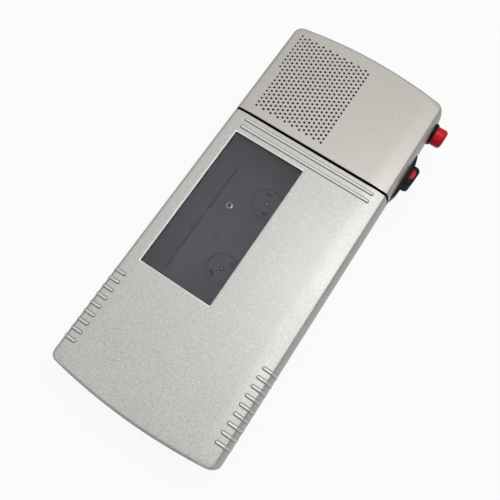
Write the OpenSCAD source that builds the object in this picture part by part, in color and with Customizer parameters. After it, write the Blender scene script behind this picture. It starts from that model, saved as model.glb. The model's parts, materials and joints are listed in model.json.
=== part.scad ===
// Handheld dictation machine, lying on its back.
// Origin at the middle of the back face, +Z towards the front, +Y towards the
// speaker end, +X towards the side with the red button. Millimetres.

/* [Casing] */
// Width across the long sides
body_w = 62; // [61:0.5:66]
// Length over both bowed ends
body_l = 145.3; // [144:0.5:152]
// Thickness from back to front face
body_t = 24; // [23.8:0.2:27]
// Wall of the shells
wall = 1.9; // [1.6:0.1:2.1]
// Height of the seam between the rear shell and the front shells
seam_z = 11.8; // [11.4:0.2:12.2]
// Rounding of the long front edges
side_r = 5; // [3:0.5:6]
// Rounding of the front edges at both ends
end_r = 2; // [1:0.5:3]
// Rounding of the back edges
back_r = 4; // [2.5:0.5:4.5]
// Corner radius seen from the front
corner_r = 3.5; // [2.5:0.5:5]
// Radius of the bow of the speaker end
top_bow_r = 155; // [140:5:300]
// Radius of the bow of the lower end
bottom_bow_r = 195; // [180:5:300]
// Length of the upper cover down to the middle of the gap
upper_l = 41.8; // [41:0.2:43]
// Width of the gap between upper cover and lid
gap = 0.9; // [0.6:0.1:1.2]

/* [Lid] */
// Window width
window_w = 26.3; // [22:0.1:27]
// Distance from the left side to the window
window_side = 6.45; // [6:0.05:8]
// Distance from the lower end to the window
chin_l = 41; // [39.5:0.5:46]
// Distance from the gap to the window
window_drop = 9; // [8.5:0.1:10]
// Depth of the pane's rim below the front face
pane_depth = 1.5; // [1.2:0.1:1.7]
// Depth of the pane's raised middle below the front face
pane_sink = 0.5; // [0.3:0.1:1]
// Thickness of the pane's rim
pane_t = 1; // [0.8:0.1:1.2]
// How far the pane reaches under the edge of the opening
pane_lap = 1.6; // [1:0.1:2]
// Width of the raised ribs
rib_w = 1.2; // [0.8:0.1:1.4]
// Height of the raised ribs
rib_h = 0.4; // [0.2:0.05:0.6]
// Length of the two thumb ribs
thumb_rib_l = 50; // [40:1:52]
// Spacing of the thumb ribs, also from the gap to the first
thumb_rib_pitch = 3; // [2:0.1:3.2]
// Number of grip ribs on each side
grip_count = 9; // [6:1:10]
// Spacing of the grip ribs
grip_pitch = 3.1; // [2.4:0.1:3.2]
// Length of a grip rib on the front face, from the side in
grip_reach = 5.8; // [4:0.2:6.5]
// Distance from the lower end to the last grip rib
grip_start = 9.95; // [8:0.1:12]

/* [Grille] */
// Diameter of a speaker hole
hole_d = 0.85; // [0.6:0.05:1]
// Distance between neighbouring holes
hole_pitch = 1.66; // [1.5:0.02:1.7]
// Columns of holes
grille_cols = 20; // [16:1:20]
// Holes in a column
grille_rows = 20; // [16:1:20]
// Distance from the left side to the first column
grille_side = 5.15; // [4.8:0.05:6]
// Distance from the speaker end to the first row
grille_drop = 5.85; // [5.6:0.05:7]

/* [Controls] */
// Height of the middle of the side controls
control_z = 16.5; // [16.3:0.1:16.8]
// Diameter of the record button
button_d = 6.7; // [6:0.1:7]
// Distance from the speaker end to the button
button_drop = 9.8; // [9.4:0.2:10.6]
// How far the button stands out of the side
button_out = 4.8; // [3.5:0.1:5.5]
// Travel of the button
button_travel = 1.5; // [1:0.1:1.7]
// Width of the black ring around the button
bezel_w = 0.7; // [0.5:0.1:0.9]
// How far the ring stands out
bezel_out = 0.9; // [0.4:0.1:1]
// Distance from the gap to the middle of the slide plate
track_rise = 11.05; // [10.8:0.05:11.4]
// Length of the slide plate
track_l = 18.4; // [17.8:0.1:18.8]
// Height of the slide plate
track_h = 5.6; // [5:0.1:6]
// Bulge that the ends of the slide plate follow
track_bulge = 1.55; // [1.3:0.05:1.9]
// Height of its flat middle above the side
track_flat = 1; // [0.7:0.1:1.2]
// Length of the slide knob
knob_l = 7.4; // [7:0.1:8.4]
// Height of the slide knob
knob_h = 6.6; // [6:0.1:6.8]
// How far the knob stands out of the side
knob_out = 3.5; // [3.2:0.1:4]
// Travel of the knob to each side
knob_travel = 2.5; // [2:0.1:2.6]
// Radius of the volume wheel
volume_r = 7.8; // [7:0.1:8]
// How far the volume wheel stands out of the left side
volume_out = 1; // [0.6:0.1:1.4]
// Bore of the earphone jack
jack_d = 3.6; // [3.5:0.1:3.7]

/* [Mechanism] */
// Depth of the cassette floor below the front face
deck_depth = 11; // [10.8:0.1:11.1]
// Thickness of the cassette floor
deck_t = 1.6; // [1.2:0.1:1.8]
// Distance between the two spindles
hub_gap = 27.4; // [26.8:0.1:28]
// Radius of the spindle discs
disc_r = 5.15; // [4.8:0.05:5.4]
// Radius of the friction rims under the discs
spindle_rim_r = 8; // [7.6:0.1:8.2]
// Radius of the spindle pins
axle_r = 0.8; // [0.6:0.05:0.9]
// Radius of the flywheel
flywheel_r = 10; // [9.4:0.1:10.2]
// Radius of the friction hub on the flywheel
flywheel_hub_r = 3; // [2.6:0.1:3.2]
// Radius of the capstan
capstan_r = 1; // [0.8:0.05:1.1]
// Radius of the motor can
motor_r = 10; // [9.4:0.1:10.2]
// Groove radius of the motor pulley
pulley_r = 2; // [1.6:0.1:2.4]
// Radius of the pinch roller
roller_r = 3.2; // [2.8:0.1:3.4]
// Carriage travel for each millimetre of the knob
cam_slope = 0.4; // [0.3:0.02:0.4]

/* [Power] */
// Diameter of a cell
cell_d = 14.5; // [14:0.1:14.6]
// Width of the battery door
door_w = 47.8; // [40:0.2:50]
// Thickness of the battery door
door_t = 1.6; // [1.4:0.05:1.65]

/* [Clearances] */
// Running clearance of pins and shafts, on the radius
run_c = 0.05; // [0.03:0.01:0.08]
// Clearance of sliding fits
slide_c = 0.15; // [0.1:0.01:0.2]
// Air between parts that pass each other
air = 0.3; // [0.2:0.05:0.35]

/* [Hidden] */
$fn = 48;
corner_steps = 4;
bow_steps = 8;
front_steps = 5;
back_steps = 4;
eps = 0.02;
least_r = 0.3;

// Gap of pressed trim, gap of pieces that rest on each other, overshoot of a cut
trim = 0.03;
seat_c = 0.1;
cut = 1;

silver = "#cfccc6";
dark = "#3b3d42";
black = "#1b1b1d";
red = "#c8201e";
steel = "#b9bcc0";
brass = "#b89a52";

// Casing reference planes
side_x = body_w / 2;
in_x = side_x - wall;
y_top = body_l / 2;
y_bot = -body_l / 2;
front_in = body_t - wall;
gap_y = y_top - upper_l;
lid_y1 = gap_y - gap / 2;
cover_y0 = gap_y + gap / 2;
far = body_l;

// Cassette floor
deck_top = body_t - deck_depth;
deck_bot = deck_top - deck_t;
seal_setback = 0.35;
seal_t = 0.85;
cover_wall_t = 1.3;
seal_y0 = cover_y0 + seal_setback;
cover_wall_y0 = seal_y0 + seal_t;
cover_wall_y1 = cover_wall_y0 + cover_wall_t;
floor_c = 0.2;
cover_wall_z0 = deck_top + floor_c;

// Window and lid
window_x0 = -side_x + window_side;
window_x1 = window_x0 + window_w;
window_y1 = gap_y - window_drop;
window_y0 = y_bot + chin_l;
pane_z1 = body_t - pane_depth;
pane_z0 = pane_z1 - pane_t;
lip_t = 1.9;
lip_drop = 3.1;
grip_x0 = side_x - grip_reach;
grip_foot = 2;
seam_c = 0.2;

// Hinge of the lid, along X at the lower end
barrel_r = 2.25;
hinge_y = y_bot + barrel_r;
hinge_z = seam_z;
barrel_c = 0.35;
hinge_drop = barrel_r + barrel_c;
hinge_pin_r = 0.8;
hinge_pin_l = 40;
pin_end_c = 0.2;
barrel_l = 54.8;
ear_x = 15.5;
ear_w = 3;
ear_r = 1.6;
ear_foot = 6;
ear_lap = 0.5;

// Battery bay
cell_r = cell_d / 2;
cell_z = wall + air + cell_r;
cell_cap_r = 2.75;
cell_cap_l = 1.2;
cell_c = 0.55;
cell_reach = barrel_r + cell_r + cell_c;
cell_a_y = hinge_y + sqrt(pow(cell_reach, 2) - pow(hinge_z - cell_z, 2));
cell_b_y = cell_a_y + cell_d + cell_c;
contact_t = 0.4;
contact_reach = 5.5;
contact_half_h = 5;
contact_c = 0.05;
contact_spring_l = 1.25;
spring_turns = 2.25;
spring_wire_r = 0.22;
spring_big_r = 3.6;
spring_small_r = 1.6;
spring_sides = 6;
spring_rings = 54;
spring_l = contact_spring_l - 2 * spring_wire_r - seat_c;
tray_t = 1.2;
tray_side_c = 1.6;
tray_x1 = in_x - tray_side_c;
tray_x = tray_x1 - tray_t;
contact_x = tray_x - contact_t;
cell_l = 2 * contact_x - contact_c - contact_spring_l;
tray_foot = 0.4;
tray_c = 0.35;
tray_open = 0.2;
tray_z0 = wall + tray_foot;
tray_z1 = cell_z + cell_r + air;
tray_y0 = cell_a_y - cell_r + tray_open;
tray_y1 = cell_b_y + cell_r + tray_c;
bay_wall_t = 0.8;
deck_c = 0.4;
deck_y0 = tray_y1 + bay_wall_t + deck_c;
deck_y1 = cover_wall_y1;
door_back = 0.4;
door_y1 = tray_y1 - door_back;
door_tongue = 1;
door_tongue_t = 0.7;
door_groove_n = 5;
door_groove_start = 5;
door_groove_pitch = 2.4;
door_groove_w = 0.9;
door_groove_d = 0.4;
door_groove_l = 22;

// Screw posts
post_r = 2.6;
boss_r = 2.4;
screw_r = 1;
screw_c = 0.15;
screw_head_r = 1.9;
screw_head_h = 1.2;
screw_head_z = 0.4;
screw_slot_l = 2.2;
screw_slot_w = 0.5;
screw_slot_d = 1;
screw_tip = 0.5;
post_sink = 0.2;
post_from_side = 4.1;
post_from_end = 3;
post_from_gap = 0.85;
deck_post_x = in_x - post_from_side;
deck_post_y0 = deck_y0 + post_from_end;
deck_post_y1 = gap_y - post_from_gap;
deck_posts = [for (x = [-1, 1], y = [deck_post_y0, deck_post_y1]) [x * deck_post_x, y]];
boss_from_side = 7.6;
boss_x = in_x - boss_from_side;
boss_sink = 0.15;
boss_drop = 2.3;
boss_cap = 1;
boss_y = y_top - boss_x * boss_x / (2 * top_bow_r) - wall - boss_r + boss_sink;
boss_top = front_in - boss_drop;
bosses = [for (x = [-1, 1]) [x * boss_x, boss_y]];

// Grille
col_pitch = hole_pitch * sqrt(3) / 2;
grille_x0 = -side_x + grille_side;
grille_y0 = y_top - grille_drop;
grille_w = col_pitch * (grille_cols - 1);
grille_l = hole_pitch * (grille_rows - 0.5);
speaker_x = grille_x0 + grille_w / 2;
speaker_y = grille_y0 - grille_l / 2;
speaker_r = 14;
speaker_lip = 1.6;
basket_t = 0.6;
basket_seat = 3;
cloth_t = 0.3;
cloth_rim = 0.45;
cloth_gap = 0.1;
cloth_z1 = front_in - cloth_gap;
cloth_z0 = cloth_z1 - cloth_t;
speaker_flange = 0.8;
speaker_depth = 4.4;
magnet_r = 8;
magnet_t = 3.6;
cone_t = 0.4;
cone_c = 0.3;
cone_drop = 0.5;
cone_rise = 0.9;
cone_neck_r = 4;
cone_cap_h = 0.6;
basket_z0 = cloth_z0 - speaker_flange - speaker_depth;

// Record button
button_r = button_d / 2;
button_y = y_top - button_drop;
button_edge_r = 1.2;
bezel_r = button_r + bezel_w;
bezel_sink = 0.8;
button_flange_w = 0.8;
button_flange_r = button_r + button_flange_w;
button_flange_t = 0.8;
button_stem_r = 1.1;
button_stem_l = 0.4;
flange_back = 0.8;
flange_x1 = in_x - flange_back;
flange_x0 = flange_x1 - button_flange_t;
stem_x0 = flange_x0 - button_stem_l;
switch_face_x = stem_x0 - button_travel - seat_c;
switch_depth = 2.4;
switch_up = 1.4;
switch_down = 2.4;
switch_half_h = 3;
board_t = 1;
side_board_x1 = switch_face_x - switch_depth;
side_board_x0 = side_board_x1 - board_t;

// Slide knob, its plate, and the rod that it carries
track_y = gap_y + track_rise;
track_sink = 0.9;
track_curve_r = (track_l * track_l / 4 + track_bulge * track_bulge) / (2 * track_bulge);
knob_rise = 1.4;
knob_y = track_y + knob_rise;
knob_x0 = side_x + track_flat + seat_c;
knob_x1 = side_x + knob_out;
knob_nose_r = 1.7;
knob_tail_r = 1.5;
knob_tail_in = 0.2;
knob_groove_start = 0.3;
knob_groove_w = 0.2;
knob_groove_d = 0.2;
knob_groove_n = 4;
knob_groove_pitch = 0.5;
inlay_r = 2.2;
inlay_rise = 0.43;
inlay_squash = 0.75;
inlay_t = 0.9;
inlay_sink = 0.15;
stem_half_l = 2.2;
stem_half_h = 1;
rod_t = 0.5;
rod_from_side = 1.4;
rod_x1 = in_x - rod_from_side;
rod_x0 = rod_x1 - rod_t;
rod_half_h = 1.6;
rod_past_knob = 3.5;
rod_y1 = knob_y + rod_past_knob;
slide_switch_half_l = 6;
slide_switch_half_h = 2.5;
slide_switch_c = 0.6;

// Volume wheel
volume_x = -(side_x + volume_out - volume_r);
volume_rise = 15.2;
volume_y = gap_y + volume_rise;
volume_t = 3;
volume_pot_r = 4.5;
volume_shaft_r = 1.5;
volume_shaft_low = 0.4;
volume_knurl = 36;
knurl_d = 0.35;
knurl_half_w = 0.3;
volume_slot_c = 0.7;
board_z0 = 4.8;
main_board_t = 1.2;
board_top = board_z0 + main_board_t;
pot_t = 1.5;
volume_z0 = board_top + pot_t + air;
volume_slot_l = sqrt(pow(volume_r, 2) - pow(-volume_x - in_x, 2)) + volume_slot_c;

// Earphone jack
jack_r = jack_d / 2;
jack_drop = 14.15;
jack_y = y_top - jack_drop;
jack_l = 13;
jack_w = 6.4;
jack_nose_r = 2.7;
jack_z = board_top + jack_nose_r;
jack_wall = 1.2;
jack_x0 = -in_x + floor_c;

// Boards
board_from_post = 0.6;
board_from_side = 0.9;
board_y0 = cover_wall_y1 + floor_c;
board_y1 = boss_y - post_r - board_from_post;
board_x = in_x - board_from_side;
side_board_in = 0.4;
side_board_drop = 1.6;
side_board_y0 = board_y0 + side_board_in;
side_board_y1 = button_y + switch_up;
side_board_z1 = front_in - side_board_drop;
standoff_r = 1.5;
standoff_end = 3;
standoff_side = 4;
chip_h = 1.6;
// Each chip: middle across, middle above the board's lower end, width, length
chips = [[-4, 6, 11, 7], [12, 8, 8, 6], [2, 20, 9, 9]];
capacitor_r = 2.2;
capacitor_h = 5;
// Each capacitor: distance from the side board, place above the main board's lower end
capacitors = [[8.1, 20], [8.1, 26], [2.6, 15], [2.6, 26]];

// Microphone behind the speaker end
mic_x = 12;
mic_rise = 0.5;
mic_z = control_z + mic_rise;
mic_r = 3;
mic_l = 3.4;
mic_boot_t = 0.6;
mic_boot_back = 1;
mic_hole_r = 0.7;
mic_in_y = y_top - mic_x * mic_x / (2 * top_bow_r) - wall;
mic_boot_y1 = mic_in_y - air - seat_c;

// Spindles and drive train
spindle_from_window = 5.25;
spindle_off = 0.6;
spindle_x = window_x1 - spindle_from_window;
spindle_y = (window_y0 + window_y1) / 2 + spindle_off;
takeup_y = spindle_y + hub_gap / 2;
supply_y = spindle_y - hub_gap / 2;
takeup_turn = 110;
supply_turn = 55;
slot_at = 3.6;
slot_w = 1.2;
slot_l = 2.4;
slot_d = 1;
base_t = 1;
base_z1 = wall + base_t;
rim_t = 1.8;
rim_drop = 0.5;
rim_z1 = deck_bot - rim_drop;
rim_z0 = rim_z1 - rim_t;
shoulder_r = 1.6;
shoulder_z = rim_z0 - air;
axle_tip = 0.5;
disc_sink = 0.1;
disc_neck = 1.2;
flywheel_from_side = 0.7;
flywheel_low = 7.7;
flywheel_rise = 0.7;
flywheel_x = in_x - flywheel_r - flywheel_from_side;
flywheel_y = spindle_y - flywheel_low;
flywheel_z0 = base_z1 + flywheel_rise;
flywheel_t = 2.6;
belt_w = 0.9;
belt_rise = 0.8;
belt_side_c = 0.2;
belt_z0 = flywheel_z0 + belt_rise;
belt_h = 1;
belt_c = 0.1;
groove_d = 1.1;
fly_groove_r = flywheel_r - groove_d;
capstan_drop = 3.6;
capstan_z1 = body_t - capstan_drop;
bush_r = 2.5;
motor_clear = 0.9;
motor_gap = spindle_rim_r + motor_r + motor_clear;
motor_x = spindle_x - sqrt(pow(motor_gap, 2) - pow(hub_gap / 2, 2));
motor_y = spindle_y;
motor_t = 4.2;
motor_z0 = deck_bot - motor_t;
motor_shaft_r = 0.75;
motor_dip = 0.6;
pulley_flange = 0.7;
friction_c = 0.05;
tyre_t = 1.4;
idler_hub_r = 2.2;
idler_web_in = 0.3;
idler_hub_down = 0.6;
idler_washer_gap = 0.2;
idler_washer_t = 0.4;
idler_washer_w = 0.7;
idler_cap = 0.5;
idler_washer_z1 = rim_z0 - idler_hub_down - idler_washer_gap;
idler_axle_z0 = idler_washer_z1 - idler_washer_t;
fly_to_takeup = [spindle_x - flywheel_x, takeup_y - flywheel_y];
fly_dist = norm(fly_to_takeup);
fly_dir = fly_to_takeup / fly_dist;
idler_r = (fly_dist - flywheel_hub_r - spindle_rim_r) / 2 - friction_c;
idler_at = [flywheel_x, flywheel_y] + (flywheel_hub_r + friction_c + idler_r) * fly_dir;

// Head carriage, carried by the cassette floor
carriage_travel = cam_slope * knob_travel;
carriage_c = 0.25;
carriage_x1 = rod_x0 - carriage_travel - carriage_c;
carriage_w = 5.4;
carriage_x0 = carriage_x1 - carriage_w;
carriage_t = 1;
carriage_z0 = deck_top + air;
carriage_z1 = carriage_z0 + carriage_t;
roller_x = flywheel_x + capstan_r + roller_r + carriage_travel + seat_c;
roller_c = 0.5;
roller_pin_past = 0.4;
roller_z0 = carriage_z1 + roller_c;
roller_t = 4.8;
head_gap = 1.1;
erase_y0 = flywheel_y + roller_r + head_gap;
erase_w = 4.6;
erase_back = 1;
erase_low = 0.6;
head_y0 = erase_y0 + erase_w + head_gap;
head_w = 8;
head_over = 0.5;
head_back = 0.9;
head_x0 = carriage_x0 - head_over;
head_x1 = carriage_x1 - head_back;
head_t = 5.6;
head_face_r = 5.6;
head_face_t = 0.8;
tab_c = 0.5;
tab_rim = 0.9;
tab_half_w = 2.6;
tab_y0 = head_y0 + head_w + knob_travel + tab_c;
cam_pin_r = 0.8;
cam_slot_c = 0.4;
cam_pin_past = 0.5;
cam_slot_half = knob_travel + cam_pin_r + cam_slot_c;
cam_y = tab_y0 + cam_slot_half + tab_rim;
cam_x = (carriage_x0 + carriage_x1) / 2;
tab_y1 = cam_y + cam_slot_half + tab_rim;
tab_x0 = cam_x - tab_half_w;
tab_half_t = 0.6;
carriage_end = 2;
carriage_y0 = flywheel_y - carriage_end;
carriage_y1 = tab_y1;

// Small things on the cassette floor
groove_from_window = 5.25;
groove_low = 3.8;
groove_high = 5.7;
groove_w = 0.8;
groove_deep = 0.8;
groove_x = window_x0 + groove_from_window;
groove_y0 = window_y0 + groove_low;
groove_y1 = window_y1 - groove_high;
notch_l = 1.8;
guide_from_window = 11.05;
guide_rise = 5.7;
guide_pin_x = window_x0 + guide_from_window;
guide_pin_y = spindle_y + guide_rise;
guide_pin_r = 1.3;
guide_pin_h = 2;
sense_from_window = 13.1;
sense_low = 5.85;
sense_x = window_x0 + sense_from_window;
sense_y = spindle_y - sense_low;
sense_r = 1.35;
sense_deep = 0.9;

// Clips that hold the lid shut
catch_x = 17;
catch_w = 5;
catch_t = 0.4;
catch_foot = 3;
catch_hook = 2;
catch_from_lip = 1.6;
catch_c = 0.4;
catch_y0 = lid_y1 - lip_t - catch_from_lip;
catch_z1 = front_in - lip_drop - catch_c;

// Points along an arc, both ends included
function arc_points(cx, cy, r, a0, a1, n) =
  [for (k = [0:n]) [cx + r * cos(a0 + (a1 - a0) * k / n), cy + r * sin(a0 + (a1 - a0) * k / n)]];

// The same arc without its ends
function arc_inside(cx, cy, r, a0, a1, n) =
  [for (k = [1:n - 1]) [cx + r * cos(a0 + (a1 - a0) * k / n), cy + r * sin(a0 + (a1 - a0) * k / n)]];

// Outline seen from the front: straight sides, bowed ends, round corners
function plan_ring(side_in, end_in, rc) =
  let(
    cx = body_w / 2 - side_in - rc,
    rt = top_bow_r - end_in,
    yt = y_top - top_bow_r,
    ct = yt + sqrt(pow(rt - rc, 2) - cx * cx),
    at = atan2(ct - yt, cx),
    rb = bottom_bow_r - end_in,
    yb = y_bot + bottom_bow_r,
    cb = yb - sqrt(pow(rb - rc, 2) - cx * cx),
    ab = atan2(yb - cb, cx)
  )
  concat(
    arc_points(cx, ct, rc, 0, at, corner_steps),
    arc_inside(0, yt, rt, at, 180 - at, bow_steps),
    arc_points(-cx, ct, rc, 180 - at, 180, corner_steps),
    arc_points(-cx, cb, rc, 180, 180 + ab, corner_steps),
    arc_inside(0, yb, rb, 180 + ab, 360 - ab, bow_steps),
    arc_points(cx, cb, rc, 360 - ab, 360, corner_steps)
  );

// How far a rounded edge of radius r steps in at depth d below the face
function edge_in(d, r) = d < r ? r - sqrt(r * r - (r - d) * (r - d)) : 0;

// Depths at which a rounding of radius r gets its rings
function edge_depths(r, n) = [for (k = [0:n]) r * (1 - cos(90 * k / n))];

function lift(ring, z) = [for (p = ring) [p[0], p[1], z]];

// Rings of the whole body, stepped in by inset, from back to front
function body_rings(inset) =
  let(
    rs = max(side_r - inset, least_r),
    re = max(end_r - inset, least_r),
    rk = max(back_r - inset, least_r),
    rc = max(corner_r - inset, least_r),
    back = edge_depths(rk, back_steps),
    front = edge_depths(rs, front_steps)
  )
  concat(
    [for (d = back)
      lift(plan_ring(inset + edge_in(d, rk), inset + edge_in(d, rk), rc), inset + d)],
    [for (k = [front_steps:-1:0])
      lift(plan_ring(inset + edge_in(front[k], rs), inset + edge_in(front[k], re), rc),
        body_t - inset - front[k])]
  );

// Closed solid through a stack of rings
module loft(rings) {
  n = len(rings[0]);
  m = len(rings);
  points = [for (ring = rings) each ring];
  sides = [for (k = [0:m - 2], i = [0:n - 1])
    let(a = k * n + i, b = k * n + (i + 1) % n)
    each [[a, a + n, b + n], [a, b + n, b]]];
  bottom = [[for (i = [0:n - 1]) i]];
  top = [[for (i = [n - 1:-1:0]) (m - 1) * n + i]];
  polyhedron(points = points, faces = concat(bottom, sides, top));
}

module body_solid(inset = 0) {
  loft(body_rings(inset));
}

// Box between two corners
module block(lo, hi) {
  translate(lo) cube(hi - lo);
}

module x_cyl(r, x0, x1, y, z) {
  translate([x0, y, z]) rotate([0, 90, 0]) cylinder(r = r, h = x1 - x0);
}

module y_cyl(r, y0, y1, x, z) {
  translate([x, y0, z]) rotate([-90, 0, 0]) cylinder(r = r, h = y1 - y0);
}

module z_cyl(r, z0, z1, at) {
  translate([at[0], at[1], z0]) cylinder(r = r, h = z1 - z0);
}

module ring_cyl(r1, r0, z0, z1, at) {
  difference() {
    z_cyl(r1, z0, z1, at);
    z_cyl(r0, z0 - cut, z1 + cut, at);
  }
}

// Flat bar with round ends, lying along X
module round_bar(x0, x1, y, w) {
  translate([x0 + w / 2, y - w / 2]) square([x1 - x0 - w, w]);
  for (x = [x0 + w / 2, x1 - w / 2]) translate([x, y]) circle(d = w, $fn = 24);
}

// Wall of the body between two lengthwise limits and two heights
module shell_between(y0, y1, z0, z1) {
  intersection() {
    difference() {
      body_solid(0);
      body_solid(wall);
    }
    block([-far, y0, z0], [far, y1, z1]);
  }
}

// Casing

module grille_holes() {
  for (c = [0:grille_cols - 1], k = [0:grille_rows - 1])
    if (c > 0 || k < grille_rows / 2)
      translate([grille_x0 + c * col_pitch, grille_y0 - (k + (c % 2) / 2) * hole_pitch])
        circle(d = hole_d, $fn = 16);
}

module knob_slot(x0, x1) {
  block(
    [x0, knob_y - stem_half_l - knob_travel - air, control_z - stem_half_h - air],
    [x1, knob_y + stem_half_l + knob_travel + air, control_z + stem_half_h + air]
  );
}

module track_outline(c, x0, x1) {
  block(
    [x0, track_y - track_l / 2 - c, control_z - track_h / 2 - c],
    [x1, track_y + track_l / 2 + c, control_z + track_h / 2 + c]
  );
}

module upper_cover() {
  color(silver)
  difference() {
    union() {
      shell_between(cover_y0, far, seam_z, far);
      intersection() {
        body_solid(wall / 2);
        block([-far, cover_wall_y0, cover_wall_z0], [far, cover_wall_y1, far]);
      }
      intersection() {
        body_solid(wall / 2);
        union() for (p = bosses) z_cyl(boss_r, seam_z, boss_top, p);
      }
    }
    translate([0, 0, front_in - cut]) linear_extrude(wall + 2 * cut) grille_holes();
    x_cyl(bezel_r, side_x - bezel_sink, far, button_y, control_z);
    x_cyl(button_r + slide_c, in_x - cut, far, button_y, control_z);
    track_outline(0, side_x - track_sink, far);
    knob_slot(in_x - cut, side_x);
    block(
      [rod_x0 - air, cover_wall_y0 - cut, cover_wall_z0 - cut],
      [in_x - seat_c, cover_wall_y1 + cut, control_z + rod_half_h + air]
    );
    for (p = bosses) z_cyl(screw_r, seam_z - cut, boss_top - boss_cap, p);
    y_cyl(mic_hole_r, mic_in_y - cut, far, mic_x, mic_z);
  }
}

module lid_barrel() {
  intersection() {
    body_solid(0);
    x_cyl(barrel_r, -barrel_l / 2, barrel_l / 2, hinge_y, hinge_z);
  }
}

// The raised bar that one grip rib stands in, seen from the front
module grip_bars() {
  for (k = [0:grip_count - 1], s = [-1, 1])
    round_bar(
      s > 0 ? grip_x0 : -far, s > 0 ? far : -grip_x0,
      y_bot + grip_start + k * grip_pitch, rib_w
    );
}

module cassette_lid() {
  color(silver)
  difference() {
    union() {
      shell_between(-far, lid_y1, seam_z + seam_c, far);
      lid_barrel();
      intersection() {
        body_solid(wall / 2);
        block([-far, lid_y1 - lip_t, front_in - lip_drop], [far, lid_y1, far]);
      }
      for (k = [1, 2])
        translate([0, 0, body_t - wall / 2]) linear_extrude(wall / 2 + rib_h)
          round_bar(-thumb_rib_l / 2, thumb_rib_l / 2, gap_y - k * thumb_rib_pitch, rib_w);
      difference() {
        intersection() {
          body_solid(-rib_h);
          translate([0, 0, seam_z + grip_foot]) linear_extrude(body_t) grip_bars();
        }
        body_solid(wall / 2);
      }
    }
    block([window_x0, window_y0, front_in - cut], [window_x1, window_y1, far]);
    block(
      [window_x0 - pane_lap - slide_c, window_y0 - pane_lap - slide_c, front_in - cut],
      [window_x1 + pane_lap + slide_c, window_y1 + pane_lap + slide_c, pane_z1]
    );
    x_cyl(
      hinge_pin_r + run_c, -hinge_pin_l / 2 - pin_end_c, hinge_pin_l / 2 + pin_end_c,
      hinge_y, hinge_z
    );
    for (s = [-1, 1])
      block(
        [s * ear_x - ear_w / 2 - air, y_bot - cut, hinge_z - barrel_r - cut],
        [s * ear_x + ear_w / 2 + air, hinge_y + barrel_r + cut, hinge_z + barrel_r + air]
      );
  }
}

module window_pane() {
  color("#5a6068", 0.45)
  union() {
    block(
      [window_x0 - pane_lap, window_y0 - pane_lap, pane_z0],
      [window_x1 + pane_lap, window_y1 + pane_lap, pane_z1]
    );
    block(
      [window_x0 + slide_c, window_y0 + slide_c, pane_z1 - eps],
      [window_x1 - slide_c, window_y1 - slide_c, body_t - pane_sink]
    );
  }
}

module hinge_ears() {
  intersection() {
    body_solid(seat_c);
    for (s = [-1, 1])
      translate([s * ear_x - ear_w / 2, 0, 0]) {
        block([0, y_bot + wall / 2, ear_foot], [ear_w, hinge_y + ear_r, hinge_z - barrel_r]);
        block([0, hinge_y - ear_r, hinge_z - barrel_r - ear_lap], [ear_w, hinge_y + ear_r, hinge_z]);
        x_cyl(ear_r, 0, ear_w, hinge_y, hinge_z);
      }
  }
}

module door_cut() {
  block([-door_w / 2 - slide_c, -far, -cut], [door_w / 2 + slide_c, door_y1 + slide_c, door_t + slide_c]);
  block(
    [-door_w / 2 - door_tongue - slide_c, -far, door_t - door_tongue_t - slide_c],
    [door_w / 2 + door_tongue + slide_c, door_y1 + slide_c, door_t + slide_c]
  );
}

module rear_shell() {
  color(silver)
  difference() {
    union() {
      difference() {
        shell_between(-far, far, -cut, seam_z);
        block([-far, -far, hinge_z - hinge_drop], [far, hinge_y, far]);
        x_cyl(hinge_drop, -barrel_l / 2 - air, barrel_l / 2 + air, hinge_y, hinge_z);
        door_cut();
        block([-door_w / 2, y_bot + wall, -cut], [door_w / 2, door_y1, wall + cut]);
      }
      hinge_ears();
      for (p = deck_posts) z_cyl(post_r, wall - post_sink, deck_bot, p);
      for (p = bosses) z_cyl(post_r, wall - post_sink, seam_z, p);
      for (x = [-1, 1], y = [board_y0 + standoff_end, board_y1 - standoff_end])
        z_cyl(standoff_r, wall - post_sink, board_z0, [x * (board_x - standoff_side), y]);
    }
    x_cyl(hinge_pin_r, -hinge_pin_l / 2, hinge_pin_l / 2, hinge_y, hinge_z);
    for (p = concat(deck_posts, bosses)) {
      z_cyl(screw_r + screw_c, -cut, seam_z + cut, p);
      z_cyl(screw_head_r + screw_c, -cut, screw_head_z + screw_head_h, p);
    }
    block(
      [-far, volume_y - volume_slot_l, volume_z0 - air],
      [-in_x + cut, volume_y + volume_slot_l, volume_z0 + volume_t + air]
    );
    x_cyl(jack_nose_r + slide_c, -far, -in_x + cut, jack_y, jack_z);
  }
}

module lid_hinge_pin() {
  color(steel)
  x_cyl(hinge_pin_r, -hinge_pin_l / 2, hinge_pin_l / 2, hinge_y, hinge_z);
}

module lid_catch() {
  color(steel)
  for (s = [-1, 1])
    translate([s * catch_x - catch_w / 2, 0, 0]) {
      block([0, catch_y0, deck_top], [catch_w, catch_y0 + catch_foot, deck_top + catch_t]);
      block([0, catch_y0, deck_top], [catch_w, catch_y0 + catch_t, catch_z1]);
      block([0, catch_y0, catch_z1 - catch_t], [catch_w, catch_y0 + catch_hook, catch_z1]);
    }
}

module dust_seal() {
  color(black)
  difference() {
    intersection() {
      body_solid(wall + seat_c);
      block([-far, seal_y0, cover_wall_z0], [far, cover_wall_y0, front_in]);
    }
    block([rod_x0 - air, -far, 0], [far, far, control_z + rod_half_h + air]);
  }
}

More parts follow.
